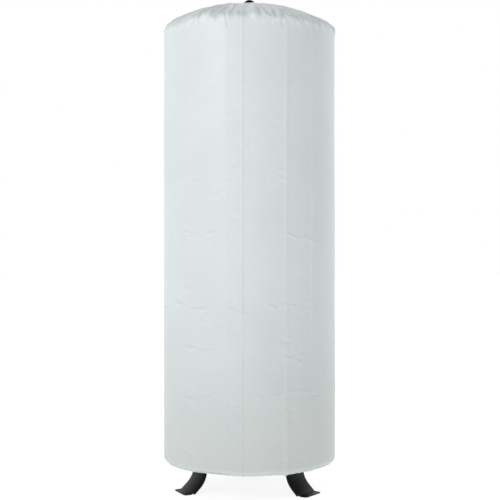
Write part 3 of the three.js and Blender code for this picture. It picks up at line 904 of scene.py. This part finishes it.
def jacket_panel(name, side, node):
    """One half of the jacket, from the front seam round to the zip."""
    creases = [abs(d) * DEG for d, _, _ in PACKING_CREASES if d * side > 0]
    turns = spaced(
        math.pi, [0, math.pi, *creases], coarse=0.016, fine=0.006, reach=0.035, count=COLUMNS
    )
    bands = [OUTLINE.length_at_z(z) for z, _ in WRINKLE_BANDS]
    downs = spaced(
        OUTLINE.length, [*bands, 0, OUTLINE.length - 20 * MM], coarse=9 * MM, fine=4 * MM,
        reach=55 * MM, count=ROWS,
    )

    bm = bmesh.new()
    bmesh.ops.create_grid(bm, x_segments=COLUMNS, y_segments=ROWS, size=0.5)
    mesh = mesh_from(name, bm)
    flat = vectors(mesh.vertices, "co")
    column = np.rint((flat[:, 0] + 0.5) * COLUMNS).astype(int)
    row = np.rint((flat[:, 1] + 0.5) * ROWS).astype(int)
    share = turns[column] / math.pi
    s = downs[row]
    radius, z = OUTLINE.at(s).T

    # Below the top of the zip the panel stops short of the middle of the back.
    slot = ZIP_SLOT * smooth_step((ZIP_OPEN_TO + 12 * MM - z) / (12 * MM))
    turn = share * (math.pi - slot / radius)
    angle = side * turn
    height = cloth_height(s, angle, radius, z)
    edge = np.abs(math.pi - turn) * radius - slot
    height *= smooth_step(edge / (26 * MM)) * 0.9 + 0.1
    height -= 1.2 * MM * np.exp(-((edge / (1.5 * MM)) ** 2))

    out = OUTLINE.normal(s)
    place = places_at(radius + height * out[:, 0], angle, z + height * out[:, 1])
    move_vertices(mesh, place)

    uv = mesh.uv_layers.new(name="cloth")
    corners = np.empty(len(mesh.loops), int)
    mesh.loops.foreach_get("vertex_index", corners)
    flat_places = np.stack([side * share * math.pi * JACKET_RADIUS, s], 1)
    uv.data.foreach_set("uv", flat_places[corners].ravel())

    middle = mesh.polygons[len(mesh.polygons) // 2]
    if middle.normal.dot((middle.center.x, middle.center.y, 0)) < 0:
        mesh.flip_normals()  # so that they look away from the vessel
    panel = mesh_piece(name, mesh, CLOTH, "jacket", [node])


SEAM_TAPE_WIDTH = 18 * MM
SEAM_TAPE_DEPTH = 3.4 * MM  # how far behind the cloth's face it is


def make_seam_tape():
    """The tape that binds the front seam's raw edges, on the inside."""
    bm = bmesh.new()
    columns, rows = 6, 300
    bmesh.ops.create_grid(bm, x_segments=columns, y_segments=rows, size=0.5)
    start, length = 16 * MM, OUTLINE.length - 60 * MM
    for vert in bm.verts:
        s = np.array([start + (length - start) * (0.5 - vert.co.y)])
        radius = OUTLINE.at(s)[0][0]
        angle = np.array([vert.co.x * SEAM_TAPE_WIDTH / radius])
        x, y, z = cloth_place(s, angle)[0]
        out, up = OUTLINE.normal(s)[0] * SEAM_TAPE_DEPTH
        vert.co = (x, y + out, z - up)
    tape = piece("seam_tape", bm, TAPE, "jacket", ["front_seam_tape"])


def make_jacket():
    jacket_panel("jacket_left", -1, "jacket_left_panel")
    jacket_panel("jacket_right", 1, "jacket_right_panel")
    make_seam_tape()


# ------------------------------------------------------------------ stitches


def cloth_place(s, angle):
    """The place on the finished cloth at a length down the outline and an angle."""
    radius, z = OUTLINE.at(s).T
    height = cloth_height(s, angle, radius, z)
    out = OUTLINE.normal(s)
    return places_at(radius + height * out[:, 0], angle, z + height * out[:, 1])


STITCH_PITCH = 5 * MM
THREAD_RADIUS = 0.45 * MM
STITCH_SHARE = 0.72  # of the pitch that a stitch's thread shows


def stitch_row(name, places):
    """Lockstitches along a line of places, one between each two."""
    bm = bmesh.new()
    for start, end in zip(places[:-1], places[1:]):
        start, end = Vector(start), Vector(end)
        way = end - start
        turn = way.to_track_quat("Z", "Y").to_matrix().to_4x4()
        bmesh.ops.create_cone(
            bm, segments=6, radius1=THREAD_RADIUS, radius2=THREAD_RADIUS, cap_ends=True,
            depth=way.length * STITCH_SHARE, matrix=Matrix.Translation((start + end) / 2) @ turn,
        )
    piece(name, bm, THREAD, "jacket", tidy=False)


def make_stitches():
    top, bottom = 12 * MM, OUTLINE.length - 4 * MM
    down = np.arange(top, bottom, STITCH_PITCH)
    radius = OUTLINE.at(down)[:, 0]
    for side, name in ((-1, "left"), (1, "right")):
        seam = cloth_place(down, side * SEAM_HALF_WIDTH / radius)
        stitch_row(f"front_seam_stitches_{name}", seam)
        zip_down = down[down > OUTLINE.length_at_z(ZIP_OPEN_TO)]
        beside = (ZIP_SLOT + 5 * MM) / JACKET_RADIUS
        back = cloth_place(zip_down, np.full_like(zip_down, side * (math.pi - beside)))
        back[:, 1] -= 0.5 * MM
        stitch_row(f"zip_stitches_{name}", back)
        turns = np.arange(0.02, math.pi - 0.04, STITCH_PITCH / JACKET_RADIUS)
        hem = cloth_place(np.full_like(turns, OUTLINE.length - HEM_STITCH_UP), side * turns)
        stitch_row(f"hem_stitches_{name}", hem)


# ------------------------------------------------------------------ casings and drawcords


def casing(name, ring, section, folds, mouth, columns, node):
    """A strip of cloth folded round a drawcord. section is its (radius, z) places round the
    ring's own place, and folds a function of the angle that gathers it."""
    bm = bmesh.new()
    rows = len(section) - 1
    bmesh.ops.create_grid(bm, x_segments=columns, y_segments=rows, size=0.5)
    for vert in bm.verts:
        share, part = vert.co.x + 0.5, round((vert.co.y + 0.5) * rows)
        angle = -math.pi + mouth + share * (math.tau - 2 * mouth)
        out, up = section[part]
        grow = folds(angle)
        vert.co = place_at(ring[0] + out * grow, angle, ring[1] + up * grow)
    obj = piece(name, bm, CLOTH, "jacket", [node])


NECK_ROLL_RADIUS = 6.3 * MM
HEM_ROLL_RADIUS = 7.4 * MM


def roll_section(radius, degrees):
    """Places round a cord, at angles up from straight out."""
    return [(radius * math.cos(d * DEG), radius * math.sin(d * DEG)) for d in degrees]


def make_neck_casing():
    casing(
        "neck_casing", (NECK_RING_RADIUS, NECK_RING_Z),
        roll_section(NECK_ROLL_RADIUS, [-60 + 16.5 * i for i in range(21)]),
        lambda a: 1 + 0.10 * math.sin(PLEATS * a) + 0.06 * math.sin(83 * a + 2 * math.sin(5 * a)),
        24 * DEG, 560, "neck_tunnel",
    )


def make_hem_casing():
    """The hem's return: from the jacket's edge round the cord and up to the stitch line."""
    out, up = OUTLINE.at(OUTLINE.length - HEM_STITCH_UP) - (HEM_RING_RADIUS, HEM_RING_Z)
    rise = up - HEM_ROLL_RADIUS
    top = [(out * share, HEM_ROLL_RADIUS + rise * share) for share in (0.35, 0.7, 0.93)]
    casing(
        "hem_casing", (HEM_RING_RADIUS, HEM_RING_Z),
        roll_section(HEM_ROLL_RADIUS, range(-60, -271, -15)) + top,
        lambda a: 1 + 0.03 * math.sin(64 * a) + 0.02 * math.sin(97 * a),
        4 * DEG, 520, "hem_tunnel",
    )


def ring_places(radius, z, mouth, count):
    """Places on a level ring, from one side of its mouth at the back to the other."""
    turns = [math.pi + mouth + (math.tau - 2 * mouth) * i / count for i in range(count + 1)]
    return [place_at(radius, turn, z) for turn in turns]


CORD_OFFSET = CORD_RADIUS + 0.3 * MM  # each of the two tails from their lock's middle
NECK_LOCK_Y = NECK_RING_RADIUS + 26.5 * MM
HEM_LOCK_Y = TANK_RADIUS + 12 * MM
HEM_LOCK_Z = HEM_RING_Z - 26.5 * MM
KNOT_SCALE = 1.22 * MM
KNOT_CORD_RADIUS = 1.7 * MM  # the cord is pulled thin in the knot


def make_knot(name, node):
    """A tight overhand knot, where its CAD node is."""
    lowest, highest = (Vector(corner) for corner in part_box(node))
    places = []
    for i in range(24):
        t = math.tau * i / 24
        places.append((lowest + highest) / 2 + KNOT_SCALE * Vector((
            math.sin(t) + 2 * math.sin(2 * t),
            math.cos(t) - 2 * math.cos(2 * t),
            -1.5 * math.sin(3 * t),
        )))
    return cord_piece(name, places, KNOT_CORD_RADIUS, CORD, "jacket", [node], cyclic=True)


def drawcord(name, route, knot_node):
    """A drawcord from its knot, round its ring and back, and the knot that ties its ends."""
    cord = cord_piece(f"{name}_cord", route, CORD_RADIUS, CORD, "jacket", [f"{name}_drawcord"])
    knot = make_knot(f"{name}_knot", knot_node)


def make_drawcords():
    y, z = NECK_LOCK_Y, NECK_RING_Z

    def neck_tail(side, up):
        return [
            (0, y + 15 * MM, z + up), (0, y, z + up), (0, y - 10 * MM, z + up),
            (0, y - 14 * MM, z + up), (side * 5 * MM, y - 22 * MM, z + up / 2),
        ]

    ring = ring_places(NECK_RING_RADIUS, z, 25 * DEG, 24)
    route = neck_tail(-1, CORD_OFFSET) + ring + neck_tail(1, -CORD_OFFSET)[::-1]
    drawcord("neck", route, "neck_cord_knot")

    y, z = HEM_LOCK_Y, HEM_LOCK_Z

    def hem_tail(side, out):
        return [
            (0, y + out, z - 15 * MM), (0, y + out, z), (0, y + out, z + 10 * MM),
            (0, y + out, z + 14 * MM), (side * 8 * MM, y + out / 2, HEM_RING_Z - 2 * MM),
        ]

    ring = ring_places(HEM_RING_RADIUS, HEM_RING_Z, 5 * DEG, 48)
    route = hem_tail(-1, CORD_OFFSET) + ring + hem_tail(1, -CORD_OFFSET)[::-1]
    drawcord("hem", route, "hem_cord_knot")


# ------------------------------------------------------------------ cord locks

SPRING_RADIUS = 4.2 * MM
SPRING_TURNS = 3.5
SPRING_STEPS = 56
SPRING_WIRE_RADIUS = 0.45 * MM


def lock_spring(name, centre_y, centre_z, node):
    """The spring behind a button."""
    (x0, _, _), (x1, _, _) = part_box(node)
    data, spline = round_curve(name, "POLY", SPRING_STEPS + 1, SPRING_WIRE_RADIUS)
    for i, point in enumerate(spline.points):
        t = i / SPRING_STEPS
        x = x0 + 0.5 * MM + t * (x1 - x0 - 1 * MM)
        angle = math.tau * SPRING_TURNS * t
        y = centre_y + SPRING_RADIUS * math.cos(angle)
        point.co = (x, y, centre_z + SPRING_RADIUS * math.sin(angle), 1)
    curve = new_object(name, data)
    depsgraph = bpy.context.evaluated_depsgraph_get()
    mesh = bpy.data.meshes.new_from_object(curve.evaluated_get(depsgraph))
    bpy.data.objects.remove(curve)
    spring = mesh_piece(name, mesh, SPRING, "jacket", [node])
    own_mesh(spring)


def make_cord_locks():
    for prefix, y, z in (("neck", NECK_LOCK_Y, NECK_RING_Z), ("hem", HEM_LOCK_Y, HEM_LOCK_Z)):
        barrel, button = f"{prefix}_lock_barrel", f"{prefix}_lock_button"
        copied(f"{prefix}_barrel", barrel, ACETAL, "jacket", 0.7 * MM)
        copied(f"{prefix}_button", button, ACETAL, button, 0.8 * MM)
        lock_spring(f"{prefix}_spring", y, z, f"{prefix}_lock_spring")


# ------------------------------------------------------------------ zip

TOOTH_PITCH = 3 * MM
TOOTH_HEIGHT = 1.4 * MM
TOOTH_REACH = 0.9 * MM  # past the middle, between the other side's teeth


def make_zip():
    for side, name in ((-1, "left"), (1, "right")):
        make_tape(name, side)
        make_coil(name, side)
        copied(f"bottom_stop_{name}", f"zip_stop_{name}", NICKEL, "jacket", 0.5 * MM)
    copied("starting_box", "zip_starting_box", NICKEL, "jacket", 0.7 * MM)
    copied("slider_front", "zip_slider_front", NICKEL, "zip_slider", 0.7 * MM)
    copied("slider_back", "zip_slider_back", NICKEL, "zip_slider", 0.7 * MM)
    copied("pull_tab", "zip_pull", NICKEL, "zip_pull", 0.35 * MM)


def make_tape(name, side):
    """A woven tape with a thicker corded edge where the coil is sewn on."""
    node = f"zip_tape_{name}"
    (x0, y0, z0), (x1, y1, z1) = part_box(node)
    inner, outer = sorted((abs(x0), abs(x1)))
    face, back = (y0 + y1) / 2 + 0.3 * MM, (y0 + y1) / 2 - 0.3 * MM
    cord, thin = inner + 2.4 * MM, inner + 3.4 * MM  # where the corded edge ends, and thins
    section = [
        (inner, y0), (inner, y1), (cord, y1), (thin, face), (outer, face), (outer, back),
        (thin, back), (cord, y0),
    ]
    bm = bmesh.new()
    verts = [bm.verts.new((side * x, y, z0)) for x, y in section]
    new = bmesh.ops.extrude_face_region(bm, geom=[bm.faces.new(verts)])["geom"]
    moved = [part for part in new if isinstance(part, bmesh.types.BMVert)]
    bmesh.ops.translate(bm, verts=moved, vec=(0, 0, z1 - z0))
    tape = piece(f"tape_{name}", bm, TAPE, "jacket", [node], smooth=False)


def make_coil(name, side):
    """The coil's teeth: one rounded loop of filament, repeated up the chain. The two
    sides are half a pitch apart, so that they mesh."""
    node = f"zip_coil_{name}"
    (x0, y0, z0), (x1, y1, z1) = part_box(node)
    outer = max(abs(x0), abs(x1))
    start = z0 + (TOOTH_PITCH / 2 if side > 0 else 0)
    bm = bmesh.new()
    ends = sorted((-side * TOOTH_REACH, side * outer))
    low = start + 0.2 * MM
    block(bm, (ends[0], y0, low), (ends[1], y1, low + TOOTH_HEIGHT))
    bmesh.ops.bevel(bm, geom=bm.edges[:], offset=0.45 * MM, offset_type="OFFSET", segments=1,
                    profile=0.5, affect="EDGES", material=-1)
    coil = piece(f"coil_{name}", bm, COIL, "jacket", [node])
    rows = coil.modifiers.new("teeth", "ARRAY")
    rows.count = int((z1 - start) / TOOTH_PITCH)
    rows.use_relative_offset = False
    rows.use_constant_offset = True
    rows.constant_offset_displace = (0, 0, TOOTH_PITCH)


# ------------------------------------------------------------------ fleece

FLEECE_INSIDE = TANK_RADIUS + 2.5 * MM
FLEECE_OUTSIDE = JACKET_RADIUS - 7 * MM
FLEECE_STEPS = 180
LUMP_HEIGHT = 0.7 * MM
LUMP_LENGTH = 60 * MM
LUMP_WAVES = 14


def fleece(name, bm, node):
    """A padded piece whose surface is pushed in and out a little, as loose fibre stands."""
    obj = piece(name, bm, FLEECE, "jacket", [node])
    draw = random.Random(11)
    places = vectors(obj.data.vertices, "co")
    height = np.zeros(len(places))
    for _ in range(LUMP_WAVES):
        way = Vector([draw.uniform(-1, 1) for _ in range(3)]).normalized()
        wave = way * draw.uniform(0.6, 1.6) / LUMP_LENGTH
        height += np.sin(places @ np.array(wave) * math.tau + draw.uniform(0, math.tau))
    height *= LUMP_HEIGHT / math.sqrt(LUMP_WAVES)
    move_vertices(obj.data, places + vectors(obj.data.vertices, "normal") * height[:, None])


def make_fleece():
    z0, z1 = z_range("fleece_wrap")
    slit = 13 * MM / FLEECE_INSIDE
    rows = 90
    heights = [z0 + (z1 - z0) * i / rows for i in range(rows + 1)]
    section = [(FLEECE_INSIDE, z) for z in heights]
    section += [(FLEECE_OUTSIDE, z) for z in reversed(heights) if z > z0 + 30 * MM]
    for inwards, up in ((5, 9), (15, 0), (25, 0)):
        section.append((FLEECE_OUTSIDE - inwards * MM, z0 + up * MM))
    bm = bmesh.new()
    verts = [bm.verts.new((r * math.sin(slit), r * math.cos(slit), z)) for r, z in section]
    edges = list(bm.faces.new(verts).edges)
    end = bmesh.ops.spin(
        bm, geom=verts + edges, cent=(0, 0, 0), axis=(0, 0, -1), angle=math.tau - 2 * slit,
        steps=FLEECE_STEPS,
    )["geom_last"]
    rim = [part for part in end if isinstance(part, bmesh.types.BMEdge)]
    bmesh.ops.contextual_create(bm, geom=rim)
    fleece("fleece_body", bm, "fleece_wrap")

    section = head_line(TOP_APEX_Z, 1, -2.5 * MM, 44 * MM)
    section += [(FLEECE_INSIDE, z1 + 1 * MM), (FLEECE_OUTSIDE, z1 + 1 * MM)]
    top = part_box("fleece_top")[1][2]
    for r in np.linspace(FLEECE_OUTSIDE, 46 * MM, 40):
        share = r / (FLEECE_OUTSIDE + 0.1 * MM)
        z = SHOULDER_Z + (DOME_RISE - 7 * MM) * math.sqrt(1 - share**2)
        section.append((r, min(z, top) - slump(r) - 3 * MM))
    fleece("fleece_crown", turned(section, FLEECE_STEPS), "fleece_top")


# ------------------------------------------------------------------ vessel

CROWN_RADIUS = 2 * TANK_RADIUS
KNUCKLE_RADIUS = 0.1 * CROWN_RADIUS
WALL = 4 * MM
TOP_APEX_Z = 2318 * MM
BOTTOM_APEX_Z = 165 * MM
SHELL_BEAD_RADIUS = 1.4 * MM
FITTING_BEAD_RADIUS = 2.4 * MM
LONG_WELD_TURN = 2.4  # where the rolled plate's ends meet, in radians from the front


def head_line(apex, up, inset, start_radius):
    """A torispherical head's (radius, z) places from near its apex to its rim. inset is
    how far inside the head's outer surface they run."""
    crown, knuckle = CROWN_RADIUS - inset, KNUCKLE_RADIUS - inset
    centre = TANK_RADIUS - KNUCKLE_RADIUS
    turn = math.asin(centre / (CROWN_RADIUS - KNUCKLE_RADIUS))
    crown_z = apex - up * CROWN_RADIUS
    knuckle_z = crown_z + up * (CROWN_RADIUS - KNUCKLE_RADIUS) * math.cos(turn)
    line = []
    for angle in np.linspace(math.asin(start_radius / crown), turn, 22):
        line.append((crown * math.sin(angle), crown_z + up * crown * math.cos(angle)))
    for angle in np.linspace(turn, math.pi / 2, 12)[1:]:
        r, z = knuckle * math.sin(angle), knuckle * math.cos(angle)
        line.append((centre + r, knuckle_z + up * z))
    return [(float(r), float(z)) for r, z in line]


def bead(name, places, radius, cyclic=False):
    cord_piece(name, places, radius, WELD, "vessel", cyclic=cyclic)


def ring_bead(name, ring_radius, z, count, radius):
    turns = [math.tau * i / count for i in range(count)]
    places = [(ring_radius * math.sin(t), ring_radius * math.cos(t), z) for t in turns]
    bead(name, places, radius, cyclic=True)


def make_head(name, apex, up, hole, node):
    rim = z_range(node)[0 if up > 0 else 1]
    outer = head_line(apex, up, 0, hole) + [(TANK_RADIUS, rim)]
    inner = head_line(apex, up, WALL, hole) + [(TANK_RADIUS - WALL, rim)]
    piece(name, turned(outer + inner[::-1], 160), PRIMER, "vessel", [node], 0.8 * MM)
    return rim


def make_vessel():
    top_rim = make_head("dished_top", TOP_APEX_Z, 1, 24.3 * MM, "top_head")
    bottom_rim = make_head("dished_bottom", BOTTOM_APEX_Z, -1, 21.3 * MM, "bottom_head")
    z0, z1 = z_range("tank_shell")
    inside = TANK_RADIUS - WALL
    shell = [(TANK_RADIUS, z0), (TANK_RADIUS, z1), (inside, z1), (inside, z0)]
    piece("rolled_shell", turned(shell, 160), PRIMER, "vessel", ["tank_shell"], 0.8 * MM)

    ring_bead("top_weld", TANK_RADIUS, top_rim, 48, SHELL_BEAD_RADIUS)
    ring_bead("bottom_weld", TANK_RADIUS, bottom_rim, 48, SHELL_BEAD_RADIUS)
    rise = [z0 + (z1 - z0) * k / 12 for k in range(13)]
    long_way = [place_at(TANK_RADIUS, LONG_WELD_TURN, z) for z in rise]
    bead("long_weld", long_way, SHELL_BEAD_RADIUS)
    ring_bead("boss_weld", 25.5 * MM, TOP_APEX_Z, 16, FITTING_BEAD_RADIUS)
    ring_bead("socket_weld", 22.5 * MM, BOTTOM_APEX_Z, 16, FITTING_BEAD_RADIUS)


BOSS_RADIUS = 24 * MM
BOSS_BORE = 8.4 * MM
BOSS_BORE_DEPTH = 30 * MM
SOCKET_RADIUS = 21 * MM
SOCKET_BORE = 15 * MM
PIPE_THREAD_PITCH = 2.3 * MM
PIPE_THREAD_DEPTH = 1.3 * MM


def make_fittings():
    """The boss that takes the eye, and the bottom pipe socket with its inside thread."""
    z0, z1 = z_range("top_boss")
    floor = z1 - BOSS_BORE_DEPTH
    boss = [
        (0, z0), (BOSS_RADIUS, z0), (BOSS_RADIUS, z1 - 1.5 * MM), (BOSS_RADIUS - 1.5 * MM, z1),
        (BOSS_BORE, z1), (BOSS_BORE, floor), (0, floor),
    ]
    piece("eye_boss", turned(boss, 64), PRIMER, "vessel", ["top_boss"], 0.4 * MM)
    z0, z1 = z_range("bottom_socket")
    socket = []
    for i in range(int((z1 - z0) / PIPE_THREAD_PITCH)):
        z = z0 + 1 * MM + i * PIPE_THREAD_PITCH
        socket += [
            (SOCKET_BORE + PIPE_THREAD_DEPTH, z), (SOCKET_BORE, z + PIPE_THREAD_PITCH / 2)
        ]
    socket += [
        (SOCKET_BORE + 0.5 * MM, z1), (SOCKET_RADIUS, z1), (SOCKET_RADIUS, z0 + 1 * MM),
        (SOCKET_RADIUS - 1 * MM, z0), (SOCKET_BORE + 2 * MM, z0),
    ]
    piece("pipe_socket", turned(socket, 64), PRIMER, "vessel", ["bottom_socket"], 0.3 * MM)


EYE_OUTER_RADIUS = 31.5 * MM
EYE_BAR_RADIUS = 7 * MM
EYE_SEAT_DOWN = 62 * MM  # from the top of the eye to the underside of its collar
# The collar's (radius, height over the seat), in mm, out from the stem and in to the axis.
EYE_COLLAR = [(8, 0), (17.5, 0), (17.5, 4), (13, 7), (10, 11), (0, 13)]


def make_eye():
    """The forged lifting eye, its ring and collar run together as a forging is."""
    z0, z1 = z_range("lifting_eye")
    centre, seat = z1 - EYE_OUTER_RADIUS, z1 - EYE_SEAT_DOWN
    bm = bmesh.new()
    place = Matrix.Translation((EYE_OUTER_RADIUS - EYE_BAR_RADIUS, 0, centre))
    ring = bmesh.ops.create_circle(bm, radius=EYE_BAR_RADIUS, segments=24, matrix=place)["verts"]
    edges = list({edge for vert in ring for edge in vert.link_edges})
    bmesh.ops.spin(
        bm, geom=ring + edges, cent=(0, 0, centre), axis=(0, 1, 0), angle=math.tau, steps=64,
        use_merge=True,
    )
    stem = [(0, z0), (7.4 * MM, z0), (8 * MM, z0 + 1 * MM)]
    turned(stem + [(r * MM, seat + up * MM) for r, up in EYE_COLLAR], 48, bm)
    eye = piece("forged_eye", bm, ENAMEL, "vessel", ["lifting_eye"])
    weld = eye.modifiers.new("forging", "REMESH")
    weld.mode = "VOXEL"
    weld.voxel_size = 1.2 * MM
    weld.use_smooth_shade = True
    soften = eye.modifiers.new("soften", "SMOOTH")
    soften.factor = 0.5
    soften.iterations = 5


# ------------------------------------------------------------------ legs

LEG_FACE = 271 * MM
LEG_HALF_WIDTH = 67 * MM
LEG_TURNS = {"leg_front_left": -60 * DEG, "leg_front_right": 60 * DEG, "leg_rear": math.pi}


def make_legs():
    """The legs, each with the weld that follows the bottom head across its top."""
    for node, turn in LEG_TURNS.items():
        copied(node.replace("leg", "pressed_leg"), node, ENAMEL, "vessel", 1.3 * MM)
        places = []
        for i in range(13):
            across, out = LEG_HALF_WIDTH * (i / 6 - 1), LEG_FACE + 0.8 * MM
            reach = math.hypot(out, across)
            z = BOTTOM_APEX_Z + CROWN_RADIUS - math.sqrt(CROWN_RADIUS**2 - reach**2)
            angle = turn + math.atan2(across, out)
            places.append(place_at(reach, angle, z - 1 * MM))
        bead(node.replace("leg", "leg_weld"), places, 2.6 * MM)


# ------------------------------------------------------------------ studio

WORLD_FRONT = 0.33  # a dim room in front, so that the key light models the folds
WORLD_BACK = 1.15  # a white backdrop behind
WORLD_TOP = 0.12  # and a little more from the ceiling
FLOOR_HALF_WIDTH = 60
BACKDROP_RADIUS = 45


def stage_piece(name, bm, material):
    """A piece of the studio, which isn't part of the object."""
    obj = coated(name, mesh_from(name, bm), material)
    return obj


def make_stage():
    bm = bmesh.new()
    bmesh.ops.create_grid(bm, x_segments=1, y_segments=1, size=FLOOR_HALF_WIDTH)
    stage_piece("floor", bm, studio_paper())

    # A round room, white on every side. It is only looked at, and lights nothing.
    bm = bmesh.new()
    bmesh.ops.create_cone(
        bm, segments=96, radius1=BACKDROP_RADIUS, radius2=BACKDROP_RADIUS,
        depth=2 * BACKDROP_RADIUS, cap_ends=True,
        matrix=Matrix.Translation((0, 0, BACKDROP_RADIUS - 1)),
    )
    bmesh.ops.reverse_faces(bm, faces=bm.faces)
    backdrop = stage_piece("backdrop", bm, studio_backdrop())
    for rays in ("diffuse", "glossy", "transmission", "volume_scatter", "shadow"):
        setattr(backdrop, "visible_" + rays, False)

    world = bpy.data.worlds.new("studio")
    bpy.context.scene.world = world
    world.use_nodes = True
    tree = world.node_tree
    background = tree.nodes["Background"]
    background.inputs["Color"].default_value = colour("#ffffff")
    way = add(tree, "SeparateXYZ", Vector=add(tree, "TexCoord").outputs["Generated"])
    strength = add(
        tree, "MapRange", Value=way.outputs["Y"], From_Min=0.12, From_Max=0.5,
        To_Min=WORLD_FRONT, To_Max=WORLD_BACK,
    )
    overhead = add(
        tree, "MapRange", Value=way.outputs["Z"], From_Min=0.35, From_Max=1.0, To_Min=0.0,
        To_Max=WORLD_TOP,
    )
    both = add(tree, "Math", _0=strength.outputs[0], _1=overhead.outputs[0])
    tree.links.new(both.outputs[0], background.inputs["Strength"])


def area_light(name, place, aim, size, watts):
    data = bpy.data.lights.new(name, "AREA")
    data.size = size
    data.energy = watts
    light = new_object(name, data)
    light.location = place
    light.rotation_euler = (Vector(aim) - Vector(place)).to_track_quat("-Z", "Y").to_euler()


def make_lights():
    area_light("key", (-2.6, -4.2, 3.1), (0, 0, 1.5), size=1.2, watts=78)
    area_light("fill", (4.2, -4.0, 1.8), (0, 0, 1.4), size=3.0, watts=10)


make_drawcords()
make_stage()
make_lights()
make_vessel()
make_fittings()
make_eye()
make_legs()
make_fleece()
make_jacket()
make_stitches()
make_neck_casing()
make_hem_casing()
make_cord_locks()
make_zip()

bpy.context.scene.view_settings.view_transform = "Standard"
